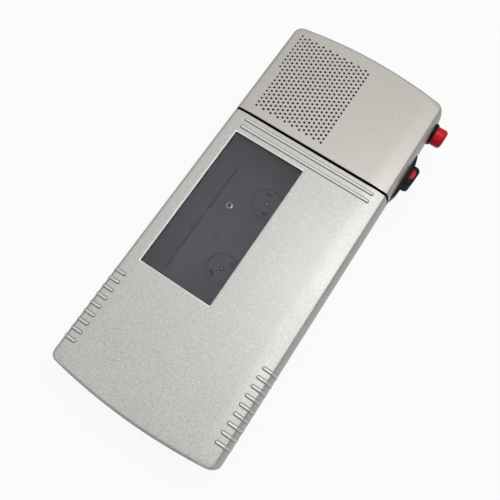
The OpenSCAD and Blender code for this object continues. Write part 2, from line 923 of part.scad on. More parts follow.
module casing_screws() {
  color(steel)
  for (k = [0:5]) {
    p = k < 4 ? deck_posts[k] : bosses[k - 4];
    top = k < 4 ? deck_top : boss_top - boss_cap - screw_tip;
    difference() {
      union() {
        z_cyl(screw_head_r, screw_head_z, screw_head_z + screw_head_h, p);
        z_cyl(screw_r, screw_head_z + screw_head_h - eps, top, p);
      }
      for (a = [0, 90])
        translate([p[0], p[1], screw_head_z]) rotate([0, 0, a])
          cube([screw_slot_l, screw_slot_w, screw_slot_d], center = true);
    }
  }
}

// Battery bay

module battery_door() {
  color(silver)
  difference() {
    intersection() {
      body_solid(0);
      union() {
        block([-door_w / 2, -far, -cut], [door_w / 2, door_y1, door_t]);
        block(
          [-door_w / 2 - door_tongue, -far, door_t - door_tongue_t],
          [door_w / 2 + door_tongue, door_y1, door_t]
        );
      }
    }
    for (k = [0:door_groove_n - 1])
      translate([0, door_y1 - door_groove_start - k * door_groove_pitch, -cut])
        linear_extrude(cut + door_groove_d)
          round_bar(-door_groove_l / 2, door_groove_l / 2, 0, door_groove_w);
  }
}

module battery_tray() {
  color(dark)
  union() {
    block([-tray_x1, tray_y0, tray_z1], [tray_x1, tray_y1 + bay_wall_t, tray_z1 + tray_t]);
    block([-tray_x1, tray_y1, tray_z0], [tray_x1, tray_y1 + bay_wall_t, tray_z1 + eps]);
    for (s = [-1, 1])
      translate([s * (tray_x + tray_t / 2) - tray_t / 2, 0, 0])
        block([0, tray_y0, tray_z0], [tray_t, tray_y1 + eps, tray_z1 + eps]);
  }
}

module cell(y, s) {
  cap_x = contact_x - contact_c;
  mirror([s > 0 ? 0 : 1, 0, 0]) {
    x_cyl(cell_r, cap_x - cell_l, cap_x - cell_cap_l, y, cell_z);
    x_cyl(cell_cap_r, cap_x - cell_cap_l - eps, cap_x, y, cell_z);
  }
}

module battery_cells() {
  color("#2f5f9a") {
    cell(cell_a_y, 1);
    cell(cell_b_y, -1);
  }
}

module battery_contacts() {
  color(brass)
  for (s = [-1, 1])
    translate([s * (contact_x + contact_t / 2) - contact_t / 2, 0, 0])
      block(
        [0, cell_a_y - contact_reach, cell_z - contact_half_h],
        [contact_t, cell_b_y + contact_reach, cell_z + contact_half_h]
      );
}

// Flat cone of wire between a contact and the flat end of a cell
function spring_ring(k) =
  let(
    t = k / spring_rings,
    a = 360 * spring_turns * t,
    r = spring_big_r + (spring_small_r - spring_big_r) * t
  )
  [for (j = [0:spring_sides - 1])
    let(
      b = 360 * j / spring_sides,
      q = r + spring_wire_r * cos(b)
    )
    [spring_l * t + spring_wire_r * sin(b), q * cos(a), q * sin(a)]];

module contact_spring(y, s) {
  translate([s * contact_x, y, cell_z])
    mirror([s > 0 ? 1 : 0, 0, 0])
      translate([spring_wire_r + trim, 0, 0])
        loft([for (k = [0:spring_rings]) spring_ring(k)]);
}

module battery_springs() {
  color(steel) {
    contact_spring(cell_a_y, -1);
    contact_spring(cell_b_y, 1);
  }
}

// Side controls

module record_button() {
  face_x = side_x + button_out;
  color(red)
  union() {
    translate([flange_x1 - eps, button_y, control_z]) rotate([0, 90, 0])
      rotate_extrude() {
        square([button_r, face_x - flange_x1 + eps - button_edge_r]);
        square([button_r - button_edge_r, face_x - flange_x1 + eps]);
        intersection() {
          translate([button_r - button_edge_r, face_x - flange_x1 + eps - button_edge_r])
            circle(r = button_edge_r, $fn = 32);
          square(far);
        }
      }
    x_cyl(button_flange_r, flange_x0, flange_x1, button_y, control_z);
    x_cyl(button_stem_r, stem_x0, flange_x0 + eps, button_y, control_z);
  }
}

module record_button_bezel() {
  color(black)
  difference() {
    x_cyl(bezel_r - trim, side_x - bezel_sink, side_x + bezel_out, button_y, control_z);
    x_cyl(button_r + slide_c, 0, far, button_y, control_z);
  }
}

module record_switch() {
  color(dark)
  block(
    [side_board_x1, button_y - switch_down, control_z - switch_half_h],
    [switch_face_x, button_y + switch_up, control_z + switch_half_h]
  );
}

module slide_track() {
  color(black)
  difference() {
    intersection() {
      track_outline(-trim, side_x - track_sink, side_x + track_flat);
      z_cyl(track_curve_r, 0, body_t, [side_x + track_bulge - track_curve_r, track_y], $fn = 300);
    }
    knob_slot(0, far);
  }
}

// Outline of the knob seen from the front: a round nose and a tail that is a little lower
module knob_outline() {
  intersection() {
    hull() {
      translate([knob_x1 - knob_nose_r, knob_y + knob_l / 2 - knob_nose_r])
        circle(r = knob_nose_r, $fn = 32);
      translate([knob_x1 - knob_tail_r - knob_tail_in, knob_y - knob_l / 2 + knob_tail_r])
        circle(r = knob_tail_r, $fn = 32);
      translate([knob_x0 - cut, knob_y - knob_l / 2]) square([cut, knob_l]);
    }
    translate([knob_x0, knob_y - knob_l]) square([knob_out, 2 * knob_l]);
  }
}

// Fine grooves that run from front to back down the tail, all of one depth
module tail_grooves() {
  difference() {
    for (k = [0:knob_groove_n - 1])
      translate([knob_x0 + knob_groove_start + k * knob_groove_pitch, knob_y - knob_l / 2 - cut])
        square([knob_groove_w, knob_tail_r + cut]);
    offset(delta = -knob_groove_d) knob_outline();
  }
}

module inlay_outline(c) {
  intersection() {
    translate([knob_x0, knob_y + inlay_rise]) scale([inlay_squash, 1]) circle(r = inlay_r + c, $fn = 32);
    translate([knob_x0, knob_y - knob_l]) square([knob_out, 2 * knob_l]);
  }
}

module slide_knob() {
  top_z = control_z + knob_h / 2;
  color(black)
  difference() {
    union() {
      translate([0, 0, control_z - knob_h / 2]) linear_extrude(knob_h) knob_outline();
      block(
        [rod_x1, knob_y - stem_half_l, control_z - stem_half_h],
        [knob_x0 + eps, knob_y + stem_half_l, control_z + stem_half_h]
      );
    }
    translate([0, 0, top_z - inlay_t - inlay_sink]) linear_extrude(body_t) inlay_outline(0);
    linear_extrude(body_t) tail_grooves();
  }
}

module slide_knob_inlay() {
  color(red)
  translate([0, 0, control_z + knob_h / 2 - inlay_t - inlay_sink]) linear_extrude(inlay_t)
    inlay_outline(-trim);
}

module cam_slot() {
  lean = atan(cam_slope);
  translate([cam_x, cam_y]) rotate(-lean) rotate(90)
    round_bar(
      -cam_slot_half / cos(lean), cam_slot_half / cos(lean), 0, 2 * (cam_pin_r + slide_c)
    );
}

module control_rod() {
  color(steel)
  difference() {
    union() {
      block([rod_x0, tab_y0, control_z - rod_half_h], [rod_x1, rod_y1, control_z + rod_half_h]);
      block([tab_x0, tab_y0, control_z - tab_half_t], [rod_x0 + eps, tab_y1, control_z + tab_half_t]);
    }
    translate([0, 0, control_z - tab_half_t - cut]) linear_extrude(2 * (tab_half_t + cut)) cam_slot();
  }
}

module slide_contact_switch() {
  color(dark)
  block(
    [side_board_x1, knob_y - slide_switch_half_l, control_z - slide_switch_half_h],
    [rod_x0 - slide_switch_c, knob_y + slide_switch_half_l, control_z + slide_switch_half_h]
  );
}

module control_board() {
  color("#2e6b3f")
  block([side_board_x0, side_board_y0, board_top], [side_board_x1, side_board_y1, side_board_z1]);
}

// Electronics

module main_board() {
  color("#2e6b3f")
  block([-board_x, board_y0, board_z0], [board_x, board_y1, board_top]);
}

module board_chips() {
  color(black)
  for (c = chips)
    translate([c[0] - c[2] / 2, board_y0 + c[1] - c[3] / 2, board_top]) cube([c[2], c[3], chip_h]);
}

module board_capacitors() {
  color("#33507a")
  for (c = capacitors)
    z_cyl(capacitor_r, board_top, board_top + capacitor_h, [side_board_x0 - c[0], board_y0 + c[1]]);
}

module volume_wheel() {
  color(black)
  difference() {
    z_cyl(volume_r, volume_z0, volume_z0 + volume_t, [volume_x, volume_y]);
    z_cyl(volume_shaft_r + run_c, volume_z0 - cut, volume_z0 + volume_t + cut, [volume_x, volume_y]);
    for (k = [0:volume_knurl - 1])
      translate([volume_x, volume_y, 0]) rotate([0, 0, k * 360 / volume_knurl])
        block([volume_r - knurl_d, -knurl_half_w, 0], [volume_r + cut, knurl_half_w, body_t]);
  }
}

module volume_pot() {
  color(steel)
  union() {
    z_cyl(volume_pot_r, board_top, board_top + pot_t, [volume_x, volume_y]);
    z_cyl(
      volume_shaft_r, board_top + pot_t - eps, volume_z0 + volume_t - volume_shaft_low,
      [volume_x, volume_y]
    );
  }
}

module earphone_jack() {
  color(black)
  difference() {
    union() {
      block(
        [jack_x0, jack_y - jack_w / 2, board_top],
        [jack_x0 + jack_l, jack_y + jack_w / 2, jack_z + jack_nose_r]
      );
      x_cyl(jack_nose_r, -side_x + seat_c, jack_x0 + eps, jack_y, jack_z);
    }
    x_cyl(jack_r, -side_x - cut, jack_x0 + jack_l - jack_wall, jack_y, jack_z);
  }
}

module speaker_frame() {
  lip_r = speaker_r - speaker_lip;
  lip_z = cloth_z0 - speaker_flange;
  seat_r = magnet_r - basket_seat;
  color(steel)
  translate([speaker_x, speaker_y, 0])
    rotate_extrude()
      polygon([
        [lip_r, cloth_z0], [speaker_r, cloth_z0], [speaker_r, lip_z],
        [magnet_r + basket_t, basket_z0], [seat_r, basket_z0], [seat_r, basket_z0 + basket_t],
        [magnet_r, basket_z0 + basket_t], [lip_r, lip_z]
      ]);
}

module speaker_cone() {
  rim_r = speaker_r - speaker_lip - cone_c;
  rim_z = cloth_z0 - cone_drop;
  neck_z = basket_z0 + cone_rise;
  color("#2b2624")
  translate([speaker_x, speaker_y, 0])
    rotate_extrude()
      polygon([
        [rim_r, rim_z], [rim_r, rim_z - cone_t], [cone_neck_r, neck_z - cone_t],
        [0, neck_z + cone_cap_h], [0, neck_z + cone_cap_h + cone_t], [cone_neck_r, neck_z]
      ]);
}

module speaker_magnet() {
  color(steel)
  z_cyl(magnet_r, basket_z0 - magnet_t, basket_z0, [speaker_x, speaker_y]);
}

module grille_cloth() {
  color(black)
  difference() {
    block(
      [grille_x0 - cloth_rim, grille_y0 - grille_l - cloth_rim, cloth_z0],
      [grille_x0 + grille_w + cloth_rim, grille_y0 + cloth_rim, cloth_z1]
    );
    block([-far, -far, 0], [far, cover_wall_y1 + seat_c, far]);
  }
}

module microphone() {
  color(steel)
  y_cyl(mic_r, mic_boot_y1 - mic_l, mic_boot_y1, mic_x, mic_z);
}

module microphone_boot() {
  color(black)
  difference() {
    y_cyl(mic_r + mic_boot_t, mic_boot_y1 - mic_l - mic_boot_back, mic_boot_y1, mic_x, mic_z);
    y_cyl(mic_r, mic_boot_y1 - mic_l, mic_boot_y1 + cut, mic_x, mic_z);
  }
}

// Cassette floor and drive

module cassette_deck() {
  deck_x = in_x - deck_c;
  color(dark)
  difference() {
    block([-deck_x, deck_y0, deck_bot], [deck_x, deck_y1, deck_top]);
    for (y = [takeup_y, supply_y]) z_cyl(disc_r + air, 0, body_t, [spindle_x, y]);
    z_cyl(bush_r, 0, body_t, [flywheel_x, flywheel_y]);
    z_cyl(sense_r, deck_top - sense_deep, body_t, [sense_x, sense_y]);
    z_cyl(axle_r, 0, deck_top - idler_cap, idler_at);
    for (p = deck_posts) z_cyl(screw_r, 0, body_t, p);
    difference() {
      block(
        [groove_x - groove_w / 2, groove_y0, deck_top - groove_deep],
        [groove_x + groove_w / 2, groove_y1, far]
      );
      block([-far, spindle_y - notch_l / 2, 0], [far, spindle_y + notch_l / 2, far]);
    }
  }
}

module mechanism_base() {
  base_x = in_x - back_r + wall - air;
  color(steel)
  difference() {
    block(
      [-base_x, deck_post_y0 + post_r + deck_c, wall],
      [base_x, deck_post_y1 - post_r - deck_c, base_z1]
    );
    for (y = [takeup_y, supply_y]) z_cyl(axle_r, 0, body_t, [spindle_x, y]);
    z_cyl(capstan_r + run_c, 0, body_t, [flywheel_x, flywheel_y]);
  }
}

module spindle_axles() {
  color(steel)
  for (y = [takeup_y, supply_y]) {
    z_cyl(axle_r, wall, deck_top - disc_sink + axle_tip, [spindle_x, y]);
    z_cyl(shoulder_r, base_z1, shoulder_z, [spindle_x, y]);
  }
}

module spindle(y, turn) {
  disc_z1 = deck_top - disc_sink;
  difference() {
    union() {
      z_cyl(disc_r, deck_bot - floor_c, disc_z1, [spindle_x, y]);
      z_cyl(disc_r - disc_neck, rim_z1 - eps, deck_bot, [spindle_x, y]);
      z_cyl(spindle_rim_r, rim_z0, rim_z1, [spindle_x, y]);
    }
    z_cyl(axle_r + run_c, 0, body_t, [spindle_x, y]);
    for (a = [turn, turn + 180])
      translate([spindle_x, y, disc_z1]) rotate([0, 0, a])
        block([slot_at - slot_w / 2, -slot_l / 2, -slot_d], [slot_at + slot_w / 2, slot_l / 2, cut]);
  }
}

module takeup_spindle() {
  color(dark) spindle(takeup_y, takeup_turn);
}

module supply_spindle() {
  color(dark) spindle(supply_y, supply_turn);
}

module flywheel() {
  at = [flywheel_x, flywheel_y];
  color(brass)
  difference() {
    union() {
      z_cyl(flywheel_r, flywheel_z0, flywheel_z0 + flywheel_t, at);
      z_cyl(flywheel_hub_r, flywheel_z0, rim_z1, at);
    }
    ring_cyl(flywheel_r + cut, fly_groove_r, belt_z0 - belt_side_c, belt_z0 + belt_h + belt_side_c, at);
    z_cyl(capstan_r, 0, body_t, at);
  }
}

module capstan_shaft() {
  color(steel)
  z_cyl(capstan_r, wall + seat_c, capstan_z1, [flywheel_x, flywheel_y]);
}

module capstan_bush() {
  color(brass)
  ring_cyl(bush_r, capstan_r + run_c, deck_bot, deck_top, [flywheel_x, flywheel_y]);
}

module drive_motor() {
  color(steel)
  difference() {
    z_cyl(motor_r, motor_z0, deck_bot, [motor_x, motor_y]);
    z_cyl(motor_shaft_r + run_c, 0, motor_z0 + motor_dip, [motor_x, motor_y]);
  }
}

module motor_pulley() {
  at = [motor_x, motor_y];
  color(brass)
  union() {
    z_cyl(pulley_r, flywheel_z0, flywheel_z0 + flywheel_t, at);
    z_cyl(pulley_r + pulley_flange, flywheel_z0, belt_z0 - belt_side_c, at);
    z_cyl(pulley_r + pulley_flange, belt_z0 + belt_h + belt_side_c, flywheel_z0 + flywheel_t, at);
    z_cyl(motor_shaft_r, flywheel_z0 + flywheel_t - eps, motor_z0 + motor_dip - seat_c, at);
  }
}

module belt_loop(c) {
  hull() {
    translate([motor_x, motor_y]) circle(r = pulley_r + belt_c + c, $fn = 32);
    translate([flywheel_x, flywheel_y]) circle(r = fly_groove_r + belt_c + c, $fn = 64);
  }
}

module drive_belt() {
  color(black)
  translate([0, 0, belt_z0]) linear_extrude(belt_h)
    difference() {
      belt_loop(belt_w);
      belt_loop(trim);
    }
}

module idler_wheel() {
  color(dark)
  difference() {
    union() {
      z_cyl(idler_r - tyre_t, rim_z0 + idler_web_in, rim_z1 - idler_web_in, idler_at);
      z_cyl(idler_hub_r, rim_z0 - idler_hub_down, deck_bot - floor_c, idler_at);
    }
    z_cyl(axle_r + run_c, 0, body_t, idler_at);
  }
}

module idler_tyre() {
  color(black)
  ring_cyl(idler_r, idler_r - tyre_t, rim_z0 + seat_c, rim_z1 - seat_c, idler_at);
}

module idler_axle() {
  color(steel)
  union() {
    z_cyl(axle_r, idler_axle_z0, deck_top - idler_cap, idler_at);
    z_cyl(axle_r + idler_washer_w, idler_axle_z0, idler_washer_z1, idler_at);
  }
}

// Heads

module head_carriage() {
  color(steel)
  difference() {
    block([carriage_x0, carriage_y0, carriage_z0], [carriage_x1, carriage_y1, carriage_z1]);
    z_cyl(axle_r, 0, body_t, [roller_x, flywheel_y]);
    z_cyl(cam_pin_r, 0, body_t, [cam_x, cam_y]);
  }
}

module carriage_pins() {
  color(steel) {
    z_cyl(axle_r, carriage_z0, roller_z0 + roller_t + roller_pin_past, [roller_x, flywheel_y]);
    z_cyl(cam_pin_r, carriage_z0, control_z + tab_half_t + cam_pin_past, [cam_x, cam_y]);
  }
}

module tape_head() {
  color(steel)
  union() {
    block([head_x0 + head_face_t, head_y0, carriage_z1], [head_x1, head_y0 + head_w, carriage_z1 + head_t]);
    intersection() {
      z_cyl(head_face_r, carriage_z1, carriage_z1 + head_t, [head_x0 + head_face_r, head_y0 + head_w / 2]);
      block([head_x0, head_y0, 0], [head_x1, head_y0 + head_w, far]);
    }
  }
}

module erase_head() {
  color("#d8d4c8")
  block(
    [head_x0, erase_y0, carriage_z1],
    [head_x1 - erase_back, erase_y0 + erase_w, carriage_z1 + head_t - erase_low]
  );
}

module pinch_roller() {
  color(black)
  ring_cyl(roller_r, axle_r + run_c, roller_z0, roller_z0 + roller_t, [roller_x, flywheel_y]);
}

module guide_pin() {
  color(steel)
  z_cyl(guide_pin_r, deck_top, deck_top + guide_pin_h, [guide_pin_x, guide_pin_y]);
}

rear_shell();
upper_cover();
cassette_lid();
window_pane();
lid_hinge_pin();
lid_catch();
dust_seal();
casing_screws();
battery_door();
battery_tray();
battery_cells();
battery_contacts();
battery_springs();
record_button();
record_button_bezel();
record_switch();
slide_track();
slide_knob();
slide_knob_inlay();
control_rod();
slide_contact_switch();
control_board();
main_board();
board_chips();
board_capacitors();
volume_wheel();
volume_pot();
earphone_jack();
speaker_frame();
speaker_cone();
speaker_magnet();
grille_cloth();
microphone();
microphone_boot();
cassette_deck();
mechanism_base();
spindle_axles();
takeup_spindle();
supply_spindle();
flywheel();
capstan_shaft();
capstan_bush();
drive_motor();
motor_pulley();
drive_belt();
idler_wheel();
idler_tyre();
idler_axle();
head_carriage();
carriage_pins();
tape_head();
erase_head();
pinch_roller();
guide_pin();
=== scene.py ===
"""Looks of the handheld dictation machine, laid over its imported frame, in metres.

The machine lies on its back: X runs across to the red button, Y up to the speaker, Z out of the front.
"""
import json
import math
from functools import partialmethod, reduce

import bpy
import numpy as np
from mathutils import Euler, Matrix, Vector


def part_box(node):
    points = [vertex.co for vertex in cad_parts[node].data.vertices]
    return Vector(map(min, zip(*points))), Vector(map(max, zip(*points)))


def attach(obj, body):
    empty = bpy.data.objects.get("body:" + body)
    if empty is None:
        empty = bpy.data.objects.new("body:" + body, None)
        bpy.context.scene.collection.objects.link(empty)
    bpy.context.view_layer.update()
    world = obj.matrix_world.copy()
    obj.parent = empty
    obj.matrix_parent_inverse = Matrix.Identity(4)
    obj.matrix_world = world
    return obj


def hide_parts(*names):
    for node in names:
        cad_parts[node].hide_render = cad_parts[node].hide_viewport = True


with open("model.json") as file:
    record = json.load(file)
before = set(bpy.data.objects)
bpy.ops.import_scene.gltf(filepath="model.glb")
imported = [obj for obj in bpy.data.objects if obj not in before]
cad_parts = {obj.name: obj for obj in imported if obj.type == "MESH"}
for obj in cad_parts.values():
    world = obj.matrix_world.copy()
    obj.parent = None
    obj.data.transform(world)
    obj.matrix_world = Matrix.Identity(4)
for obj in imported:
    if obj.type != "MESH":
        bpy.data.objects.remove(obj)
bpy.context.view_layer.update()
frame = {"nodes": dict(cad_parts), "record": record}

mm = 0.001
quarter = math.pi / 2


def in_mm(*sizes):
    """Sizes given in millimetres."""
    return np.array(sizes) * mm


def middle(node):
    """Middle of a node's box."""
    low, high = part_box(node)
    return (low + high) / 2


# How far cutters reach past a face, spare rings lie from an edge, and pieces stay apart, close or with play
past, support, hair, air = in_mm(1, 0.2, 0.03, 0.3)

# Casing sizes
(_, low_y, _), (half_w, high_y, _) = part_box("rear_shell")
(_, cover_low, seam), (_, _, front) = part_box("upper_cover")
seam_drop = 0.45 * mm
cover_foot, lid_head = cover_low - seam_drop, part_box("cassette_lid")[1].y - seam_drop
wall, lid_air = in_mm(1.9, 0.2)
front_in, side_in, lid_seam = front - wall, half_w - wall, seam + lid_air
side_r, end_r, back_r, corner_r = in_mm(5, 1.2, 4, 2.4)
top_bow, low_bow, straight = 155 * mm, 195 * mm, 1000.0
gap_edge, gap_corner, seam_edge = in_mm(0.24, 0.3, 0.2)
crown_w, crown_deep, edge_w, edge_high = in_mm(9, 0.5, 2.5, 8)

# Lid sizes; the window reaches further right and up than its frame
lip_t, lip_low = in_mm(1.9, 19)
pane_lap, pane_air, pane_sink, pane_edge, pane_clear = in_mm(1.6, 0.15, 1.5, 0.2, 0.14)
pane_low, pane_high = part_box("window_pane")
pane_rim = front - pane_sink
open_right, open_up = in_mm(0.1, 0.25)
pane_x, pane_y = middle("window_pane").x + open_right, middle("window_pane").y + open_up
open_x = (pane_high.x - pane_low.x) / 2 - pane_lap + open_right
open_y = (pane_high.y - pane_low.y) / 2 - pane_lap + open_up
open_corner, face_corner, flange_corner = in_mm(0.35, 0.3, 0.5)
rim_edge, rim_w = in_mm(0.22, 0.42)
_, hinge_y, hinge_z = middle("lid_hinge_pin")
pin_r, pin_half, pin_air = in_mm(0.8, 20, 0.05)
barrel_r, barrel_half, barrel_in, hinge_drop = in_mm(2.25, 27.4, 0.02, 2.6)
ear_x, ear_w, ear_r, ear_foot, ear_in = in_mm(15.5, 3, 1.6, 6, 1)
rib_w, rib_h = in_mm(1.2, 0.35)
rib_round = (rib_w ** 2 / 4 + rib_h ** 2) / (2 * rib_h)
rib_turn, rib_crown = math.asin(rib_w / 2 / rib_round), 0.08
thumb_rib_y = in_mm(27.85, 24.85)
thumb_rib_x, thumb_rib_half = in_mm(0.5, 25)
grip_first, grip_pitch, grip_count = 9.75 * mm, 3.1 * mm, 9
grip_y = low_y + grip_first + grip_pitch * np.arange(grip_count)
grip_start, grip_foot, grip_tip, grip_upright = 25.5 * mm, 13.8 * mm, 0.25, 0.3

# Share of its half width that rounds the end of a bar
bar_round = 0.98

# Deck sizes
deck_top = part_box("cassette_deck")[1].z
# The deck floor's painted reflection fades out between the two heights of reflection_y
strip_x, reflection_y = in_mm(-19.4, -19.0), in_mm(-14, 14)
# Where a painted shade line carries the deck's groove on
groove_line_x, groove_line_half, groove_line_y = -19.3 * mm, 0.3 * mm, in_mm(10, 17.5)
stud_x, stud_y, _ = middle("guide_pin")
stud_face, stud_ring, stud_fall = in_mm(0.72, 0.48, 0.11)
axles = [middle(node)[:2] for node in ("takeup_spindle", "supply_spindle")]
pip_x, pip_y = stud_x + 2.05 * mm, stud_y - 11.55 * mm
pip_r, pip_edge, pip_high, pip_foot = in_mm(1.15, 0.25, 0.45, 0.88)

# Cover sizes
cover_wall = in_mm(32.5, 33.8)
cover_wall_low, rod_air = in_mm(13.2, 0.1)
hole_r, hole_edge = in_mm(0.385, 0.1)
hole_column, hole_pitch = in_mm(1.4376, 1.66)
hole_columns, hole_rows, first_rows = 20, 20, 10
cloth_rim = 0.45 * mm
_, button_y, button_z = middle("record_button")
button_r, button_edge, button_air = in_mm(3.35, 1.2, 0.15)
stem_in, flange_in, flange_t, button_stem_r, flange_r = in_mm(2, 1.6, 0.8, 1.1, 4.15)
bezel_r, bezel_sink, seat_edge = in_mm(4.05, 0.8, 0.1)
track_y, track_half, track_high = middle("slide_track").y, 9.2 * mm, 2.8 * mm
track_sink, track_bulge, track_flat, track_edge = in_mm(0.9, 1.55, 1, 0.3)
knob_low, knob_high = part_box("slide_knob")
knob_y, knob_half = middle("slide_knob").y, 3.7 * mm
knob_foot, knob_face, knob_lap, knob_edge = 32.02 * mm, knob_high.x, 0.05 * mm, 0.5 * mm
nose_r, tail_r, tail_in = in_mm(1.7, 1.5, 0.2)
groove_first, groove_step, groove_wide = in_mm(0.3, 0.5, 0.2)
inlay_r, inlay_squash, inlay_edge = 2.2 * mm, 0.84, 0.25 * mm
inlay_x, inlay_y = knob_foot + knob_lap, knob_y + 0.43 * mm
stem_half, stem_high, knob_run, slot_corner = in_mm(2.2, 1, 2.5, 0.2)
mic_x, mic_z, mic_r, mic_edge = in_mm(12, 17, 0.7, 0.15)
boss_r, bore_r, boss_top = 2.4 * mm, 1 * mm, front_in - 2.3 * mm

# How an outline and its height lie: seen from the right or left side, and from an end
from_side, from_end = (2, 0, 1), (1, 2, 0)

# Rear sizes
posts = np.array([[-25, -33.78], [-25, 30], [25, -33.78], [25, 30], [-21.5, 67.009], [21.5, 67.009]]) * mm
deck_posts, cover_posts = posts[:4], posts[4:]
post_r, post_top = in_mm(2.6, 11.4)
screw_r, screw_head_r, screw_head_top = in_mm(1.15, 2.05, 1.6)
mouth_depth, mouth_grow = in_mm(0, 0.06, 0.2), in_mm(0.2, 0.06, 0)
door_t, tongue, tongue_t, tongue_in = in_mm(1.6, 1, 0.7, 0.01)
door_half, door_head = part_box("battery_door")[1].x - tongue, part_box("battery_door")[1].y
door_air, door_edge, door_side = in_mm(0.15, 0.2, 0.25)
groove_y = door_head - (5 + 2.4 * np.arange(5)) * mm
groove_half, groove_w, groove_deep, groove_edge = in_mm(11, 0.9, 0.4, 0.12)
_, slot_y, slot_z = middle("volume_wheel")
slot_half = in_mm(6.77, 1.8)
wheel_corner, mouth_edge = in_mm(0.4, 0.2)
jack_y, jack_z, jack_r = middle("earphone_jack").y, 8.7 * mm, 2.85 * mm


# Shapes

def arc(cx, cy, radius, start, stop, count):
    """Circle about (cx, cy) from angle start to angle stop: count points, both ends included."""
    a = np.linspace(start, stop, count)
    return np.stack([cx + radius * np.cos(a), cy + radius * np.sin(a)], axis=-1)


def edge_in(depth, radius):
    """How far a rounded edge steps in at depth d: r - sqrt(r^2 - (r - d)^2), and 0 below the edge."""
    rest = radius - np.clip(depth, 0, radius)
    return radius - np.sqrt(np.maximum(radius ** 2 - rest ** 2, 0))


def edge_depths(radius, steps):
    """Depths r (1 - cos a) at which a rounding gets its rings, with a from 0 to a quarter turn."""
    return radius * (1 - np.cos(np.linspace(0, quarter, steps + 1)))


def join(*lists):
    """Several lists of numbers or points as one."""
    return np.concatenate(lists)


def distinct(*heights):
    """Several lists of heights as one, rising and each height once."""
    return np.unique(np.round(join(*heights), 8))


def lift(outline, z):
    """An outline in X and Y, or several, at height z."""
    return np.concatenate([outline, np.broadcast_to(z, outline.shape[:-1] + (1,))], axis=-1)


def plan_ring(half, low, high):
    """Outline seen from the front: straight sides at +-half and two bowed ends, joined by corner arcs.

    An end is (y of its middle, bow radius, corner radius); each corner arc touches the side and the bow.
    The low end is worked out as a high one and turned half round."""
    def end(y, bow, corner, corner_count=11, bow_count=32):
        side, centre = half - corner, y - bow
        level = centre + math.sqrt((bow - corner) ** 2 - side ** 2)
        a = math.atan2(level - centre, side)
        return join(arc(side, level, corner, 0, a, corner_count),
                    arc(0, centre, bow, a, math.pi - a, bow_count)[1:-1],
                    arc(-side, level, corner, math.pi - a, math.pi, corner_count))

    return join(end(*high), -end(-low[0], *low[1:]))


def round_plate(cx, cy, half_x, half_y, corner, count=6):
    """Rectangle with round corners about (cx, cy)."""
    x, y = half_x - corner, half_y - corner
    return np.concatenate([
        arc(cx + right * x, cy + up * y, corner, k * quarter, (k + 1) * quarter, count)
        for k, (right, up) in enumerate([(1, 1), (-1, 1), (-1, -1), (1, -1)])])


def circle(radius, count):
    """Circle about the origin, its first point not repeated."""
    return arc(0, 0, radius, 0, 2 * math.pi, count + 1)[:-1]


def placed(name, data):
    """A new object in the scene."""
    item = bpy.data.objects.new(name, data)
    bpy.context.scene.collection.objects.link(item)
    return item


def solids(name, rings, loop=False):
    """One mesh of closed solids. rings[s, m, n] is point n on ring m of solid s.

    Neighbouring rings are joined by four-sided faces; the end rings are closed by one face each, or joined to
    each other when loop is set. Faces are turned outwards by the sign of the volume they enclose."""
    rings = rings[None] if rings.ndim == 3 else rings
    s, m, n, _ = rings.shape
    points = rings.reshape(-1, 3)
    index = np.arange(s * m * n).reshape(s, m, n)
    upper = np.roll(index, -1, axis=1)
    if not loop:
        index, upper = index[:, :-1], upper[:, :-1]
    sides = np.stack([index, np.roll(index, -1, axis=2), np.roll(upper, -1, axis=2), upper], axis=-1)
    sides = sides.reshape(-1, 4)
    caps = np.zeros((0, n), int) if loop else join(index[:, 0, ::-1], upper[:, -1])
    fans = [points[faces] - points[0] for faces in (sides, caps)]
    if sum(np.sum(fan[:, :1] * np.cross(fan[:, 1:-1], fan[:, 2:])) for fan in fans) < 0:
        sides, caps = sides[:, ::-1], caps[:, ::-1]
    corners = join(sides.ravel(), caps.ravel())
    starts = join(np.arange(len(sides)) * 4, len(sides) * 4 + np.arange(len(caps)) * n)
    mesh = bpy.data.meshes.new(name)
    mesh.vertices.add(len(points))
    mesh.vertices.foreach_set("co", points.astype(np.float32).ravel())
    mesh.loops.add(len(corners))
    mesh.loops.foreach_set("vertex_index", corners.astype(np.int32))
    mesh.polygons.add(len(starts))
    mesh.polygons.foreach_set("loop_start", starts.astype(np.int32))
    mesh.update(calc_edges=True)
    mesh.validate()
    return placed(name, mesh)


def work(piece, way, *tools):
    """Cuts closed solids out of a piece (DIFFERENCE) or joins them to it (UNION), and keeps the result."""
    for tool in tools:
        step = piece.modifiers.new(tool.name, "BOOLEAN")
        step.operation, step.solver, step.object = way, "MANIFOLD", tool
    shaped = bpy.data.meshes.new_from_object(piece.evaluated_get(bpy.context.evaluated_depsgraph_get()))
    piece.modifiers.clear()
    plain, piece.data = piece.data, shaped
    bpy.data.meshes.remove(plain)
    for tool in tools:
        bpy.data.meshes.remove(tool.data)


def finished(piece, body, slot, *nodes, crease=27):
    """Shades a piece smooth up to its creases, and gives it its body, slot and the nodes it stands for."""
    mesh = piece.data
    mesh.polygons.foreach_set("use_smooth", np.ones(len(mesh.polygons), bool))
    mesh.set_sharp_from_angle(angle=math.radians(crease))
    mesh.materials.clear()
    mesh.materials.append(finishes[slot])
    even = piece.modifiers.new("even_flats", "WEIGHTED_NORMAL")
    even.weight, even.keep_sharp = 100, True
    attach(piece, body)
    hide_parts(*nodes)


def stacked(name, ring, levels, *sizes):
    """Solid whose outline at each level is ring() of that level's sizes."""
    return solids(name, np.stack([lift(ring(*size), z) for *size, z in zip(*sizes, levels)]))


def prism(name, outline, low, high, axes=(0, 1, 2)):
    """Straight solid on an outline between two heights, which axes puts in the order X, Y, Z."""
    return solids(name, np.stack([lift(outline, low), lift(outline, high)])[..., axes])


def box_cut(low, high):
    """Plain block between two corners, as a cutter."""
    (x0, y0, z0), (x1, y1, z1) = low, high
    return prism("block_cut", np.array([[x0, y0], [x1, y0], [x1, y1], [x0, y1]]), z0, z1)


